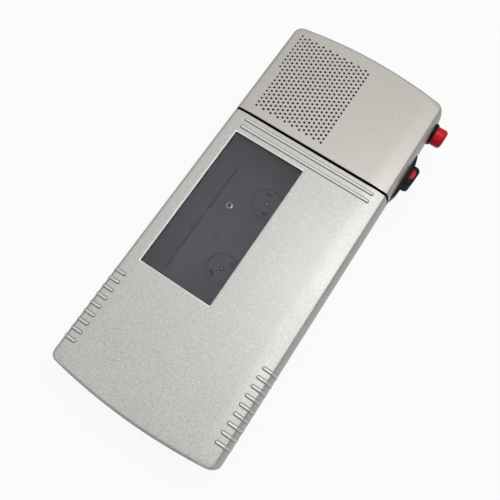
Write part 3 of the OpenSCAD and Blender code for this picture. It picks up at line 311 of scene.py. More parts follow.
def upright(name, places, levels, radii, count=24):
    """Round posts or bores at several places: a circle of its own radius at each level."""
    rings = places[:, None, None] + np.array(radii)[:, None, None] * circle(1, count)
    return solids(name, lift(rings, np.array(levels)[:, None, None]))


def flared_pit(name, ring, floor, face, edge, axes=(0, 1, 2), steps=3):
    """Cutter from floor to past face, its mouth flared by a quarter round. ring(g) is its outline grown by g;
    axes puts outline and height in the order X, Y, Z."""
    depth = join([abs(face - floor)], edge_depths(edge, steps)[::-1] if edge else [], [-past])
    heights = face - np.sign(face - floor) * depth
    rings = np.stack([lift(ring(g), z) for g, z in zip(edge_in(depth, edge), heights)], axis=-3)
    return solids(name, rings[..., axes])


def speaker_end(step, corner=corner_r):
    """Bowed end at the speaker, stepped in."""
    return high_y - step, top_bow - step, corner


def hinge_end(step, corner=corner_r):
    """Bowed end at the hinge, stepped in."""
    return low_y + step, low_bow - step, corner


def inner(end):
    """Inside of a bowed end, a wall further in at every step."""
    return lambda step: end(wall, corner_r - wall)


def straight_end(y, way):
    """Straight end at y, which steps in upwards for way 1 and downwards for way -1."""
    return lambda step: (y + way * step, straight, gap_corner)


def side_section(count):
    """Section of a front edge, from the flat to the upright side: how far it steps in, and its depth.

    A shallow parabola falls by crown_deep; a quarter ellipse goes on from its slope to the side."""
    u = np.linspace(0, 1, count)
    start = math.atan(2 * crown_deep / (crown_w - edge_w) * edge_w / edge_high)
    t = np.linspace(start, quarter, 2 * count)[1:]
    shoulder = edge_w * (1 - math.sin(start))
    step = join(crown_w + (shoulder - crown_w) * u, edge_w * (1 - np.sin(t)))
    depth = join(crown_deep * u ** 2, crown_deep + edge_high * (math.cos(start) - np.cos(t)))
    return step, depth


def front_shell(name, foot, low, low_edge, high, high_edge):
    """Front half of the casing between two ends: rings from its foot to the front face.

    Sides follow their section, ends and foot step in by quarter rounds, and spare rings keep flats flat."""
    section_in, section_depth = side_section(9)
    lowest = section_depth[-1] + support
    depths = join(section_depth, edge_depths(end_r, 7), edge_depths(gap_edge, 4), [lowest])
    levels = distinct(foot + edge_depths(seam_edge, 3), [foot + seam_edge + support], front - depths)
    depth, under = front - levels, edge_in(levels - foot, seam_edge)
    side = np.interp(depth, section_depth, section_in) + under
    a, b = (edge_in(depth, r) + under for r in (low_edge, high_edge))
    rings = [lift(plan_ring(half_w - s, low(p), high(q)), z) for s, p, q, z in zip(side, a, b, levels)]
    flat = plan_ring(half_w - crown_w - support, low(low_edge + support), high(high_edge + support))
    return solids(name, np.stack(rings + [lift(flat, front)]))


def front_hollow(low, high, top=front_in, foot=seam - past):
    """Cutter for the inside of the front half between two ends, up to a height."""
    inner_r = side_r - wall
    levels = distinct([foot, top], np.minimum(front_in - edge_depths(inner_r, 8), top))
    half = half_w - wall - edge_in(front_in - levels, inner_r)
    return stacked("front_hollow", lambda h: plan_ring(h, low(0), high(0)), levels, half)


# Node trees

class Value:
    """An output in a node tree. Signs between values add maths nodes; > and < give 1 or 0."""

    def __init__(self, socket):
        self.socket, self.tree = socket, socket.id_data

    def step(self, way, *others):
        """One step of arithmetic with other values or numbers."""
        return put(self.tree, "ShaderNodeMath", dict(enumerate((self, *others))), operation=way)[0]

    __add__ = partialmethod(step, "ADD")
    __sub__ = partialmethod(step, "SUBTRACT")
    __mul__ = partialmethod(step, "MULTIPLY")
    __gt__ = partialmethod(step, "GREATER_THAN")
    __lt__ = partialmethod(step, "LESS_THAN")
    __abs__ = partialmethod(step, "ABSOLUTE")
    most = partialmethod(step, "MAXIMUM")
    least = partialmethod(step, "MINIMUM")

    def within(self, low, high):
        """1 between two limits, else 0."""
        return (self > low) * (self < high)

    def spread(self, low, high, start=0.3, stop=0.7):
        """Maps start..stop to low..high."""
        return put(self.tree, "ShaderNodeMapRange", {
            "Value": self, "From Min": start, "From Max": stop, "To Min": low, "To Max": high})[0]

    def switch(self, off, on):
        """Goes from off at 0 to on at 1."""
        return self.spread(off, on, 0.0, 1.0)

    def blend(self, a, b):
        """Colour a at 0, colour b at 1."""
        return put(self.tree, "ShaderNodeMix", {0: self, 6: a, 7: b}, data_type="RGBA")[2]

    def feed(self, socket):
        """Links the value to a socket."""
        self.tree.links.new(self.socket, socket)

    def emboss(self, shader, strength, depth):
        """Takes the value as the height of a shader's surface."""
        bump = put(self.tree, "ShaderNodeBump", {"Height": self, "Strength": strength, "Distance": depth})
        bump[0].feed(shader["Normal"])


def put(tree, kind, sockets=None, **settings):
    """Adds a node, sets its settings, sets or links its sockets; gives its outputs by number and by name."""
    node = tree.nodes.new(kind)
    for key, value in settings.items():
        setattr(node, key, value)
    for key, value in (sockets or {}).items():
        if isinstance(value, Value):
            value.feed(node.inputs[key])
        else:
            node.inputs[key].default_value = value
    values = [Value(socket) for socket in node.outputs]
    return dict(enumerate(values)) | {value.socket.name: value for value in values}


def spot(tree, kind="Object"):
    """Coordinates of a point."""
    return put(tree, "ShaderNodeTexCoord")[kind]


def place(tree, kind="Object"):
    """The three coordinates of a point, one by one."""
    parts = put(tree, "ShaderNodeSeparateXYZ", {"Vector": spot(tree, kind)})
    return [parts[axis] for axis in "XYZ"]


def from_axis(x, y, axis=(0, 0)):
    """Distance of a point from an upright axis."""
    flat = put(x.tree, "ShaderNodeCombineXYZ", {0: x, 1: y})[0]
    return put(x.tree, "ShaderNodeVectorMath", {0: flat, 1: (*axis, 0)}, operation="DISTANCE")["Value"]


def noise(tree, scale, detail=3.0, at=None):
    """Noise on Object coordinates, or on others; scale is in waves per metre."""
    where = at or spot(tree)
    return put(tree, "ShaderNodeTexNoise", {"Vector": where, "Scale": scale, "Detail": detail})["Fac"]


# Effects shared by several finishes

def new_effect(name, **inputs):
    """Node group from named inputs to a colour, a roughness and a height; gives it and both its ends."""
    color, number = "NodeSocketColor", "NodeSocketFloat"
    tree = bpy.data.node_groups.new(name, "ShaderNodeTree")
    for label, start in inputs.items():
        kind = color if isinstance(start, tuple) else number
        tree.interface.new_socket(label, in_out="INPUT", socket_type=kind).default_value = start
    for label, kind in {"Color": color, "Roughness": number, "Height": number}.items():
        tree.interface.new_socket(label, in_out="OUTPUT", socket_type=kind)
    return tree, put(tree, "NodeGroupInput"), tree.nodes.new("NodeGroupOutput").inputs


def metal_flake_effect():
    """Paint with metal flakes: small cells, each lighter or darker, under slow clouds and fine specks."""
    tree, into, out = new_effect("metal_flake", Color=(0.6, 0.6, 0.6, 1), Flake=4000.0, Depth=0.2)
    specks, clouds = 1700.0, 60.0
    cells = put(tree, "ShaderNodeTexVoronoi", {"Vector": spot(tree), "Scale": into["Flake"]})["Color"]
    tone = put(tree, "ShaderNodeSeparateColor", {"Color": cells})[0]
    mottle, cloud = noise(tree, specks), noise(tree, clouds)
    flake, grain = tone.switch(-1.0, 1.0) * into["Depth"], mottle.spread(-0.8, 0.8) * into["Depth"]
    shade = flake + grain + cloud.spread(0.97, 1.03)
    grey = put(tree, "ShaderNodeCombineColor", {0: shade, 1: shade, 2: shade})[0]
    tinted = put(tree, "ShaderNodeMix", {0: 1.0, 6: into["Color"], 7: grey}, data_type="RGBA",
                 blend_type="MULTIPLY")[2]
    tinted.feed(out["Color"])
    (cloud * 0.6 + tone * 0.4).spread(0.36, 0.5).feed(out["Roughness"])
    mottle.feed(out["Height"])
    return tree


def moulded_grain_effect():
    """Moulded surface: a fine even grain, with slow changes of gloss and colour from handling."""
    tree, into, out = new_effect("moulded_grain", Color=(0.1, 0.1, 0.1, 1), Grain=3000.0, Rough=0.4, Wear=0.1)
    patches, worn_grey = 130.0, (0.42, 0.41, 0.4, 1)
    fine, wear_and_highlight = noise(tree, into["Grain"], 2.0), noise(tree, patches, 4.0)
    (wear_and_highlight.spread(0.0, 1.0) * into["Wear"]).blend(into["Color"], worn_grey).feed(out["Color"])
    (into["Rough"] + (wear_and_highlight.spread(0.06, -0.06) + fine.spread(-0.05, 0.05))).feed(out["Roughness"])
    fine.feed(out["Height"])
    return tree


def drawn_lines_effect():
    """Brushed or turned metal: noise stretched along Y into long fine lines, and dull stains."""
    tree, into, out = new_effect("drawn_lines", Color=(0.6, 0.6, 0.6, 1), Lines=5000.0, Rough=0.3)
    stains, dull, stretch = 220.0, (0.16, 0.15, 0.14, 1), (1.0, 0.03, 1.0)
    drawn = put(tree, "ShaderNodeMapping", {"Vector": spot(tree), "Scale": stretch})[0]
    lines, stain = noise(tree, into["Lines"], at=drawn), noise(tree, stains)
    (lines * 0.5 + stain * 0.5).spread(0.0, 0.35).blend(into["Color"], dull).feed(out["Color"])
    (into["Rough"] + lines.spread(-0.09, 0.09)).feed(out["Roughness"])
    lines.feed(out["Height"])
    return tree


metal_flake, moulded_grain, drawn_lines = metal_flake_effect(), moulded_grain_effect(), drawn_lines_effect()


# Finishes

finishes = {}


def new_finish(name, **sockets):
    """Adds a material with some plain sockets set; gives its tree and the inputs of its Principled shader."""
    finishes[name] = bpy.data.materials.new(name)
    finishes[name].use_nodes = True
    tree = finishes[name].node_tree
    shader = tree.nodes["Principled BSDF"].inputs
    for key, value in sockets.items():
        shader[key.replace("_", " ")].default_value = value
    return tree, shader


def effect(tree, group, **sockets):
    """Places a shared effect in a material."""
    return put(tree, "ShaderNodeGroup", sockets, node_tree=group)


def dress(tree, shader, group, bump, depth, **sockets):
    """Feeds a shared effect's colour, roughness and height to the shader, and gives its outputs."""
    look = effect(tree, group, **sockets)
    look["Color"].feed(shader["Base Color"])
    look["Roughness"].feed(shader["Roughness"])
    look["Height"].emboss(shader, bump, depth)
    return look


def silver_shell():
    """Silver flake paint on black plastic. Rib crowns and the window rim's left, top and bottom are painted
    lighter as highlights, and dark lines at the rib feet are painted shade, strongest on their lower side.

    The bare plastic shows more than paint_deep inside a box with bowed ends and edges rounded by side_r, and
    the faces of the gap are painted black as shade. The cover is a little warmer and smoother than the lid."""
    paint_deep, gap_shade_spill, gap_lit, rim_lap = in_mm(0.35, 0.06, 0.3, 0.02)
    foot_shade_out, foot_shade_w, highlight_w = 0.02 * mm, in_mm(0.03, 0.15), in_mm(0.2, 0.45)
    foot_shade_turn, grip_highlight, thumb_highlight = in_mm(-0.4, 0.4), 0.5, 0.65
    lid_tone, cover_tone = (0.545, 0.535, 0.515, 1), (0.525, 0.505, 0.465, 1)
    # Colours of the painted highlights, of the painted shade at the rib feet, and of the bare plastic
    bright, foot_shade_tone, black = (0.88, 0.86, 0.82, 1), (0.05, 0.047, 0.043, 1), (0.012, 0.012, 0.013, 1)
    tree, shader = new_finish(
        "silver_shell", Specular_IOR_Level=0.4, Coat_Weight=0.3, Coat_Roughness=0.2)
    x, y, z = place(tree)
    bow = x * x * (0.5 / top_bow)
    beyond_flats = [(value - (half - side_r)).most(0.0) for value, half in (
        (abs(x), half_w), (abs(y) + bow, high_y), (abs(z - front / 2), front / 2))]
    beyond_flats = put(tree, "ShaderNodeCombineXYZ", dict(enumerate(beyond_flats)))[0]
    reach = put(tree, "ShaderNodeVectorMath", {0: beyond_flats}, operation="LENGTH")["Value"]
    upper = z > seam
    # Painted shade: the faces of the gap between lid and cover are painted black below their lit top
    gap_shade = y.within(lid_head - gap_shade_spill, cover_foot + gap_shade_spill) * z.within(seam, front - gap_lit)
    bare_and_gap_shade = gap_shade.most(reach < side_r - paint_deep)
    cover = (y > lid_head) * upper
    look = dress(tree, shader, metal_flake, 0.12, 0.06 * mm, Color=cover.blend(lid_tone, cover_tone),
                 Flake=4200.0, Depth=(upper - cover).switch(0.07, 0.13))
    nearest = y.step("WRAP", grip_y[0] - grip_pitch / 2, grip_y[0] + grip_pitch / 2)
    grips = y.within(grip_y[0] - rib_w, grip_y[-1] + rib_w) * upper
    ribs = [((abs(x) - (grip_start + rib_w / 2)) * -1.0, nearest - grip_y[0], grips, grip_highlight)]
    thumb_end = abs(x - thumb_rib_x) - (thumb_rib_half - rib_w / 2)
    ribs += [(thumb_end, y - rib_y, upper, thumb_highlight) for rib_y in thumb_rib_y]
    foot_shade, highlights = [], []
    # Painted shade: a dark line round the foot of each rib, stronger on its lower side; painted highlight:
    # its crown lighter
    for past_end, beyond, where, highlight_share in ribs:
        far = from_axis(past_end.most(0.0), beyond)
        line = abs(far - (rib_w / 2 + foot_shade_out)).spread(0.85, 0.0, *foot_shade_w)
        foot_shade.append(line * beyond.spread(1.0, 0.45, *foot_shade_turn) * where)
        highlights.append(far.spread(highlight_share, 0.0, *highlight_w) * where)
    # Painted highlight along the window rim's left, top and bottom edges, where the light catches it
    rim = (abs(x - pane_x) - open_x).most(abs(y - pane_y) - open_y).within(-rim_lap, rim_w)
    highlights.append(rim * (x < pane_x + open_x) * upper)
    # Rib crowns and the window rim are painted brighter as highlights
    wear_and_highlight = reduce(Value.most, highlights).blend(look["Color"], bright)
    # Painted shade lines at the rib feet darken the colour
    shaded = reduce(Value.most, foot_shade).blend(wear_and_highlight, foot_shade_tone)
    # Black where the plastic is bare inside the shell, and in the gap as painted shade
    bare_and_gap_shade.blend(shaded, black).feed(shader["Base Color"])
    bare_and_gap_shade.switch(0.45, 0.0).feed(shader["Metallic"])


def steel():
    """Turned steel; the face of the guide stud and the axles round their bright tips are blackened."""
    dark_face, polish_out, axle_dark, deep = 0.74 * mm, 1.4 * mm, in_mm(0.38, 1.5), 1 * mm
    bright, black = (0.86, 0.83, 0.79, 1), (0.035, 0.03, 0.027, 1)
    tree, shader = new_finish("steel", Metallic=1.0)
    look = dress(
        tree, shader, drawn_lines, 0.08, 0.03 * mm, Color=(0.66, 0.65, 0.63, 1), Lines=5200.0, Rough=0.3)
    x, y, z = place(tree)
    stud = from_axis(x, y, (stud_x, stud_y))
    rings = [from_axis(x, y, axle).within(*axle_dark) for axle in axles]
    dark = reduce(Value.most, rings, stud < dark_face) * (z > deck_top - deep)
    polished = stud < polish_out
    dark.blend(polished.blend(look["Color"], bright), black).feed(shader["Base Color"])
    look["Roughness"].least(polished.switch(1.0, 0.1)).feed(shader["Roughness"])


def smoked_pane():
    """Smoked clear sheet whose tint and gloss change with a faint haze."""
    tree, shader = new_finish("smoked_pane", Transmission_Weight=1.0, IOR=1.49)
    haze = noise(tree, 90.0, 4.0)
    haze.spread(0.0, 1.0).blend((0.42, 0.44, 0.49, 1), (0.48, 0.5, 0.55, 1)).feed(shader["Base Color"])
    haze.spread(0.02, 0.09).feed(shader["Roughness"])


def plain_moulding(name, color, grain, rough, wear, bump=0.1, **sockets):
    """A moulded finish with its own colour, grain and gloss."""
    tree, shader = new_finish(name, **sockets)
    dress(tree, shader, moulded_grain, bump, 0.05 * mm, Color=color, Grain=grain, Rough=rough, Wear=wear)


def plain_metal(name, color, lines, rough):
    """A bare metal with drawn lines."""
    tree, shader = new_finish(name, Metallic=1.0)
    dress(tree, shader, drawn_lines, 0.08, 0.03 * mm, Color=color, Lines=lines, Rough=rough)


def red_plastic():
    """Red moulding; the knob's mark is painted darker towards its foot as shade from the casing's side."""
    red, shaded, mark_shade_x = (0.7, 0.013, 0.022, 1), (0.05, 0.003, 0.006, 1), inlay_x + in_mm(0.4, 0.9)
    tree, shader = new_finish("red_plastic", Specular_IOR_Level=0.18)
    x, y, _ = place(tree)
    # Painted shade: the knob's mark darkens towards its foot, next to the casing
    mark_shade = x.spread(0.85, 0.0, *mark_shade_x) * (y < button_y - 2 * button_r)
    dress(tree, shader, moulded_grain, 0.04, 0.05 * mm, Color=mark_shade.blend(red, shaded), Grain=2200.0,
          Rough=0.32, Wear=0.01)


def deck_plastic():
    """Dark satin floor of the bay, painted paler towards the hinge as a reflection of the light; left of its
    groove bluer and streaked along Y.

    Its groove, gaps and slots are painted darker as shade, and a painted shade line carries the groove on."""
    dark, reflection_tone, bluish = (0.14, 0.142, 0.152, 1), (0.22, 0.222, 0.225, 1), (0.15, 0.165, 0.21, 1)
    line_tone, recess_shade_tone, line_share, deep = (0.03, 0.03, 0.033, 1), (0.02, 0.021, 0.024, 1), 0.5, 0.15 * mm
    tree, shader = new_finish("deck_plastic", Specular_IOR_Level=0.35)
    x, y, z = place(tree)
    streaks = effect(tree, drawn_lines, Color=bluish, Lines=1600.0, Rough=0.4)
    # Painted reflection: the floor is painted paler towards the hinge
    floor = y.spread(1.0, 0.0, *reflection_y).blend(dark, reflection_tone)
    tone = x.spread(1.0, 0.0, *strip_x).blend(floor, streaks["Color"])
    # Painted shade: a dark line where the groove runs on
    groove_shade_line = (abs(x - groove_line_x) < groove_line_half) * y.within(*groove_line_y)
    tone = (groove_shade_line * line_share).blend(tone, line_tone)
    # Painted shade: everything more than deep below the deck top is darker
    dress(tree, shader, moulded_grain, 0.003, 0.01 * mm, Color=(z < deck_top - deep).blend(tone, recess_shade_tone),
          Grain=2600.0, Rough=0.46, Wear=0.02)


def cell_jacket():
    """Battery sleeve: a dark blue body with pale metal ends."""
    blue, pale, sleeve_half = (0.03, 0.06, 0.16, 1), (0.55, 0.55, 0.53, 1), 15 * mm
    tree, shader = new_finish("cell_jacket")
    ends = abs(place(tree)[0]) > sleeve_half
    dress(tree, shader, moulded_grain, 0.05, 0.05 * mm, Color=ends.blend(blue, pale), Grain=900.0, Rough=0.3,
          Wear=0.08)
    ends.feed(shader["Metallic"])


def board():
    """Circuit board: green lacquer over paler copper runs, the edges of square-cornered cells."""
    green, pale_green, cells = (0.02, 0.11, 0.045, 1), (0.09, 0.24, 0.09, 1), 330.0
    tree, shader = new_finish("board")
    runs = put(tree, "ShaderNodeTexVoronoi", {"Vector": spot(tree), "Scale": cells},
               distance="CHEBYCHEV", feature="DISTANCE_TO_EDGE")["Distance"]
    dress(tree, shader, moulded_grain, 0.08, 0.05 * mm, Grain=2400.0, Rough=0.32, Wear=0.04,
          Color=runs.spread(1.0, 0.0, 0.06, 0.1).blend(green, pale_green))


def woven(name, color, pale, pitch, rough):
    """Cloth or felt: two crossed waves of threads under a loose fuzz."""
    tree, shader = new_finish(name, Roughness=rough, Sheen_Weight=0.05)
    threads = {"Vector": spot(tree), "Scale": pitch, "Distortion": 1.5, "Detail": 1.0}
    warp, weft = (put(tree, "ShaderNodeTexWave", threads, bands_direction=way)["Fac"] for way in "XY")
    fuzz = warp.most(weft) * noise(tree, 2500.0).spread(0.5, 1.0)
    fuzz.blend(color, pale).feed(shader["Base Color"])
    fuzz.emboss(shader, 0.3, 0.08 * mm)


silver_shell()
smoked_pane()
red_plastic()
deck_plastic()
steel()
cell_jacket()
board()
plain_moulding("black_plastic", (0.004, 0.004, 0.005, 1), 3200.0, 0.46, 0.006, Specular_IOR_Level=0.14)
plain_moulding("rubber", (0.02, 0.02, 0.02, 1), 2600.0, 0.7, 0.06, 0.2)
plain_moulding("chip", (0.02, 0.02, 0.022, 1), 4200.0, 0.5, 0.05, 0.12)
plain_moulding("magnet", (0.06, 0.06, 0.062, 1), 3500.0, 0.5, 0.08, 0.15)
plain_moulding("ivory_plastic", (0.62, 0.58, 0.48, 1), 2600.0, 0.38, 0.05)
plain_metal("brass", (0.72, 0.52, 0.24, 1), 4200.0, 0.28)
plain_metal("can", (0.5, 0.53, 0.58, 1), 3000.0, 0.34)
woven("felt", (0.003, 0.003, 0.003, 1), (0.014, 0.014, 0.015, 1), 900.0, 0.95)
woven("cone_paper", (0.05, 0.047, 0.042, 1), (0.14, 0.13, 0.12, 1), 500.0, 0.85)
for part in frame["record"]["subparts"]:
    node = frame["nodes"][part["node"]]
    node.data.materials.clear()
    node.data.materials.append(finishes[part["material_slot"]])


# Upper cover

def grille_ring(grow):
    """The 390 speaker holes: columns of circles, every other one half a pitch lower; the first is short."""
    column, row = np.indices((hole_columns, hole_rows)).reshape(2, -1)
    kept = (column > 0) | (row < first_rows)
    column, row = column[kept], row[kept]
    low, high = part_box("grille_cloth")
    centre = np.stack([low.x + cloth_rim + column * hole_column,
                       high.y - cloth_rim - (row + (column % 2) / 2) * hole_pitch], axis=-1)
    return centre[:, None] + circle(1, 12) * (hole_r + grow)


def button_ring(radius):
    """Circle about the button's axis that grows, in Y and Z."""
    return lambda grow: circle(radius + grow, 48) + [button_y, button_z]


def knob_slot_ring(grow):
    """Slot that the knob's stem runs in, in Y and Z."""
    play = air + grow
    return round_plate(knob_y, button_z, stem_half + knob_run + play, stem_high + play, slot_corner)


def track_ring(grow):
    """Seat of the slide's track, in Y and Z."""
    return round_plate(track_y, button_z, track_half + grow, track_high + grow, seat_edge)


def upper_cover():
    """Silver cover over the speaker: a shell with its grille, a wall behind the gap and side openings."""
    cover = front_shell("cover_shell", seam, straight_end(cover_foot, 1), gap_edge, speaker_end, end_r)
    pocket = straight_end(cover_foot - past, 1)
    work(cover, "DIFFERENCE",
         front_hollow(straight_end(cover_wall[1], 1), inner(speaker_end)),
         front_hollow(pocket, straight_end(cover_wall[0], -1)),
         front_hollow(pocket, straight_end(cover_wall[1] + past, -1), top=cover_wall_low))
    work(cover, "UNION", upright("boss", cover_posts, [seam, boss_top], [boss_r, boss_r]))
    work(cover, "DIFFERENCE",
         upright("boss_bores", cover_posts, [seam - past, boss_top - past], [bore_r, bore_r], 16),
         flared_pit("grille_holes", grille_ring, front_in - past, front, hole_edge, steps=1),
         *[flared_pit(name, ring, floor, half_w, edge, from_side) for name, ring, floor, edge in (
             ("bezel_seat", button_ring(bezel_r), half_w - bezel_sink, seat_edge),
             ("button_bore", button_ring(button_r + button_air), side_in - past, 0),
             ("track_seat", track_ring, half_w - track_sink, seat_edge),
             ("knob_slot", knob_slot_ring, side_in - past, 0))],
         box_cut((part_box("head_carriage")[1].x, cover_wall[0] - past, cover_wall_low - past),
                 (side_in - rod_air, cover_wall[1] + past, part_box("control_rod")[1].z + air)),
         flared_pit("voice_hole", lambda g: circle(mic_r + g, 24) + [mic_z, mic_x],
                    high_y - wall - past, high_y, mic_edge, from_end))
    finished(cover, "casing", "silver_shell", "upper_cover")


upper_cover()


# Cassette lid

def lid_barrel():
    """Hinge barrel along X: a circle about the hinge line, held back where it would pass the bowed end."""
    x = np.linspace(-barrel_half, barrel_half, 41)[:, None]
    y, z = (circle(barrel_r, 40) + [hinge_y, hinge_z]).T[:, None]
    y = np.maximum(y, low_y + low_bow - np.sqrt(low_bow ** 2 - x ** 2) + barrel_in)
    return solids("lid_barrel", np.stack(np.broadcast_arrays(x, y, z), axis=-1))


def thumb_ribs():
    """Two long ribs across the lid: bars with round ends whose section is a low circular arc.

    At angle a from its crown the arc lies rib_round (1 - cos a) lower and rib_round sin a to the side."""
    a = np.linspace(rib_turn, rib_crown, 8)
    half = np.append(rib_w / 2, rib_round * np.sin(a))
    level = np.append(front - rim_edge, front + rib_h - rib_round * (1 - np.cos(a)))
    bars = [[lift(round_plate(thumb_rib_x, y, thumb_rib_half - rib_w / 2 + h, h, bar_round * h), z)
             for h, z in zip(half, level)] for y in thumb_rib_y]
    return solids("thumb_ribs", np.array(bars))


def grip_ribs(side):
    """Nine ribs that wrap over one edge: a low arc as section, carried along the edge's own section and down.

    The path is stepped by its length; ribs get lower as it turns upright, and end in half circles."""
    step, depth = side_section(40)
    step, depth = np.append(step, 0), np.append(depth, front - grip_foot)
    length = join([0], np.cumsum(np.hypot(np.diff(step), np.diff(depth))))
    start, total = np.interp(grip_start - half_w, -step, length), length[-1]
    tip = rib_w / 2 * (1 - np.cos(np.linspace(grip_tip, quarter, 6)))
    s = join(start + tip, np.linspace(start + tip[-1], total - tip[-1], 40)[1:-1], total - tip[::-1])
    path = np.stack([half_w - np.interp(s, length, step), front - np.interp(s, length, depth)], axis=-1)
    turn = np.arctan2(*np.gradient(path, s, axis=0).T[::-1])
    out = np.stack([-np.sin(turn), np.cos(turn)], axis=-1)
    near = np.minimum(np.minimum(s - start, total - s) / (rib_w / 2), 1)
    width = np.sqrt(1 - (1 - near) ** 2)
    section = join([[-rib_w / 2, -rim_edge], [rib_w / 2, -rim_edge]],
                   arc(0, rib_h - rib_round, rib_round, quarter - rib_turn, quarter + rib_turn, 13))
    v = section[:, 0] * width[:, None]
    rise = np.sqrt(width) * (grip_upright + (1 - grip_upright) * out[:, 1])
    u = np.where(section[:, 1] > 0, section[:, 1] * rise[:, None], section[:, 1])
    x, z = (path[:, None] + out[:, None] * u[..., None]).transpose(2, 0, 1)
    ribs = np.broadcast_arrays(side * x, grip_y[:, None, None] + v, z)
    return solids("grip_ribs", np.stack(ribs, axis=-1))


def hinge_round(radius, half):
    """Cutter along the hinge line."""
    return prism("hinge_round", circle(radius, 32) + [hinge_y, hinge_z], -half, half, from_side)


def window_ring(grow):
    """Window opening, whose rim slopes out by rim_w while it falls by rim_edge."""
    grow = grow * rim_w / rim_edge
    return round_plate(pane_x, pane_y, open_x + grow, open_y + grow, open_corner)


def cassette_lid():
    """Silver lid: a shell with its lip, hinge barrel, ribs, and the window with the seat of its pane."""
    lid = front_shell("lid_shell", lid_seam, hinge_end, end_r, straight_end(lid_head, -1), gap_edge)
    work(lid, "DIFFERENCE",
         front_hollow(inner(hinge_end), straight_end(lid_head - lip_t, -1)),
         front_hollow(inner(hinge_end), straight_end(lid_head + past, -1), top=lip_low))
    work(lid, "UNION", lid_barrel(), thumb_ribs(), grip_ribs(1), grip_ribs(-1))
    slots = [box_cut((x - ear_w / 2 - air, low_y - past, hinge_z - barrel_r - past),
                     (x + ear_w / 2 + air, hinge_y + barrel_r + past, hinge_z + barrel_r + air))
             for x in (-ear_x, ear_x)]
    work(lid, "DIFFERENCE",
         flared_pit("window", window_ring, front_in - past, front, rim_edge, steps=1),
         box_cut((pane_low.x - pane_air, pane_low.y - pane_air, front_in - past),
                 (pane_high.x + pane_air, pane_high.y + pane_air, pane_rim)),
         hinge_round(pin_r + pin_air, pin_half + lid_air), *slots)
    finished(lid, "lid", "silver_shell", "cassette_lid")


def window_pane():
    """Smoked pane: a flange behind the lid and a middle with a rounded edge that fills the opening."""
    low, high = np.array(pane_low), np.array(pane_high)
    centre, half = (low + high)[:2] / 2, (high - low)[:2] / 2
    pane = prism("pane_sheet", round_plate(*centre, *half, flange_corner), low[2], pane_rim - hair)
    edge = edge_depths(pane_edge, 4)[::-1]
    levels = join([low[2] + support], high[2] - edge)
    inset = pane_clear + join([0], edge_in(edge, pane_edge))
    ring = lambda e: round_plate(pane_x, pane_y, open_x - e, open_y - e, face_corner)
    work(pane, "UNION", stacked("pane_middle", ring, levels, inset))
    finished(pane, "lid", "smoked_pane", "window_pane")


cassette_lid()
window_pane()


# Rear shell and battery door

def rear_rings(levels, inset, edge):
    """Rings of the rear half: sides and ends step in together by the quarter round of the back edge."""
    step = inset + edge_in(levels - inset, back_r - inset) + edge_in(seam - levels, edge)
    corner = corner_r - inset
    return [lift(plan_ring(half_w - s, hinge_end(s, corner), speaker_end(s, corner)), z)
            for s, z in zip(step, levels)]


def hinge_ears():
    """Two ears that carry the hinge pin: an upright bar with a round head, carried along X."""
    head = arc(hinge_y, hinge_z, ear_r, 0, math.pi, 17)
    ring = join(head, [[hinge_y - ear_r, ear_foot], [hinge_y + ear_r, ear_foot]])
    ring[:, 0] = np.maximum(ring[:, 0], low_y + ear_in)
    ears = np.stack([[lift(ring, x - ear_w / 2), lift(ring, x + ear_w / 2)] for x in (-ear_x, ear_x)])
    return solids("hinge_ears", ears[..., from_side])


def rear_shell():
    """Silver back: a shell with posts, hinge ears and openings for screws, wheel, jack, door and hinge."""
    levels = distinct(edge_depths(back_r, 14), [back_r + support, seam - seam_edge - support],
                      seam - edge_depths(seam_edge, 3))
    flat = back_r + support
    back = lift(plan_ring(half_w - flat, hinge_end(flat), speaker_end(flat)), 0)
    rear = solids("rear_shell_skin", np.stack([back] + rear_rings(levels, 0, seam_edge)))
    inside = join(wall + edge_depths(back_r - wall, 8), [seam + past])
    door_x, door_y, door_z = door_half + door_air, door_head + door_air, door_t + door_air
    work(rear, "DIFFERENCE",
         solids("rear_hollow", np.stack(rear_rings(inside, wall, 0))),
         box_cut((-2 * half_w, 2 * low_y, hinge_z - hinge_drop), (2 * half_w, hinge_y, 2 * front)),
         hinge_round(hinge_drop, barrel_half + air),
         box_cut((-door_x, 2 * low_y, -past), (door_x, door_y, door_z)),
         box_cut((-door_x - tongue, 2 * low_y, door_t - tongue_t - door_air),
                 (door_x + tongue, door_y, door_z)),
         box_cut((-door_half, low_y + wall, -past), (door_half, door_head, wall + past)))
    work(rear, "UNION", hinge_ears(),
         upright("deck_posts", deck_posts, [wall - air, post_top], [post_r, post_r]),
         upright("boss_posts", cover_posts, [wall - air, seam], [post_r, post_r]))
    work(rear, "DIFFERENCE",
         hinge_round(pin_r, pin_half),
         upright("screw_bores", posts, [-past, *mouth_depth, screw_head_top, screw_head_top, seam + past],
                 [*(screw_head_r + mouth_grow[[0, 0, 1, 2, 2]]), screw_r, screw_r]),
         flared_pit("volume_slot", lambda g: round_plate(slot_y, slot_z, *(slot_half + g), wheel_corner),
                    -side_in + past, -half_w, mouth_edge, from_side),
         flared_pit("jack_hole", lambda g: circle(jack_r + g, 32) + [jack_y, jack_z],
                    -side_in + past, -half_w, mouth_edge, from_side))
    finished(rear, "casing", "silver_shell", "rear_shell")


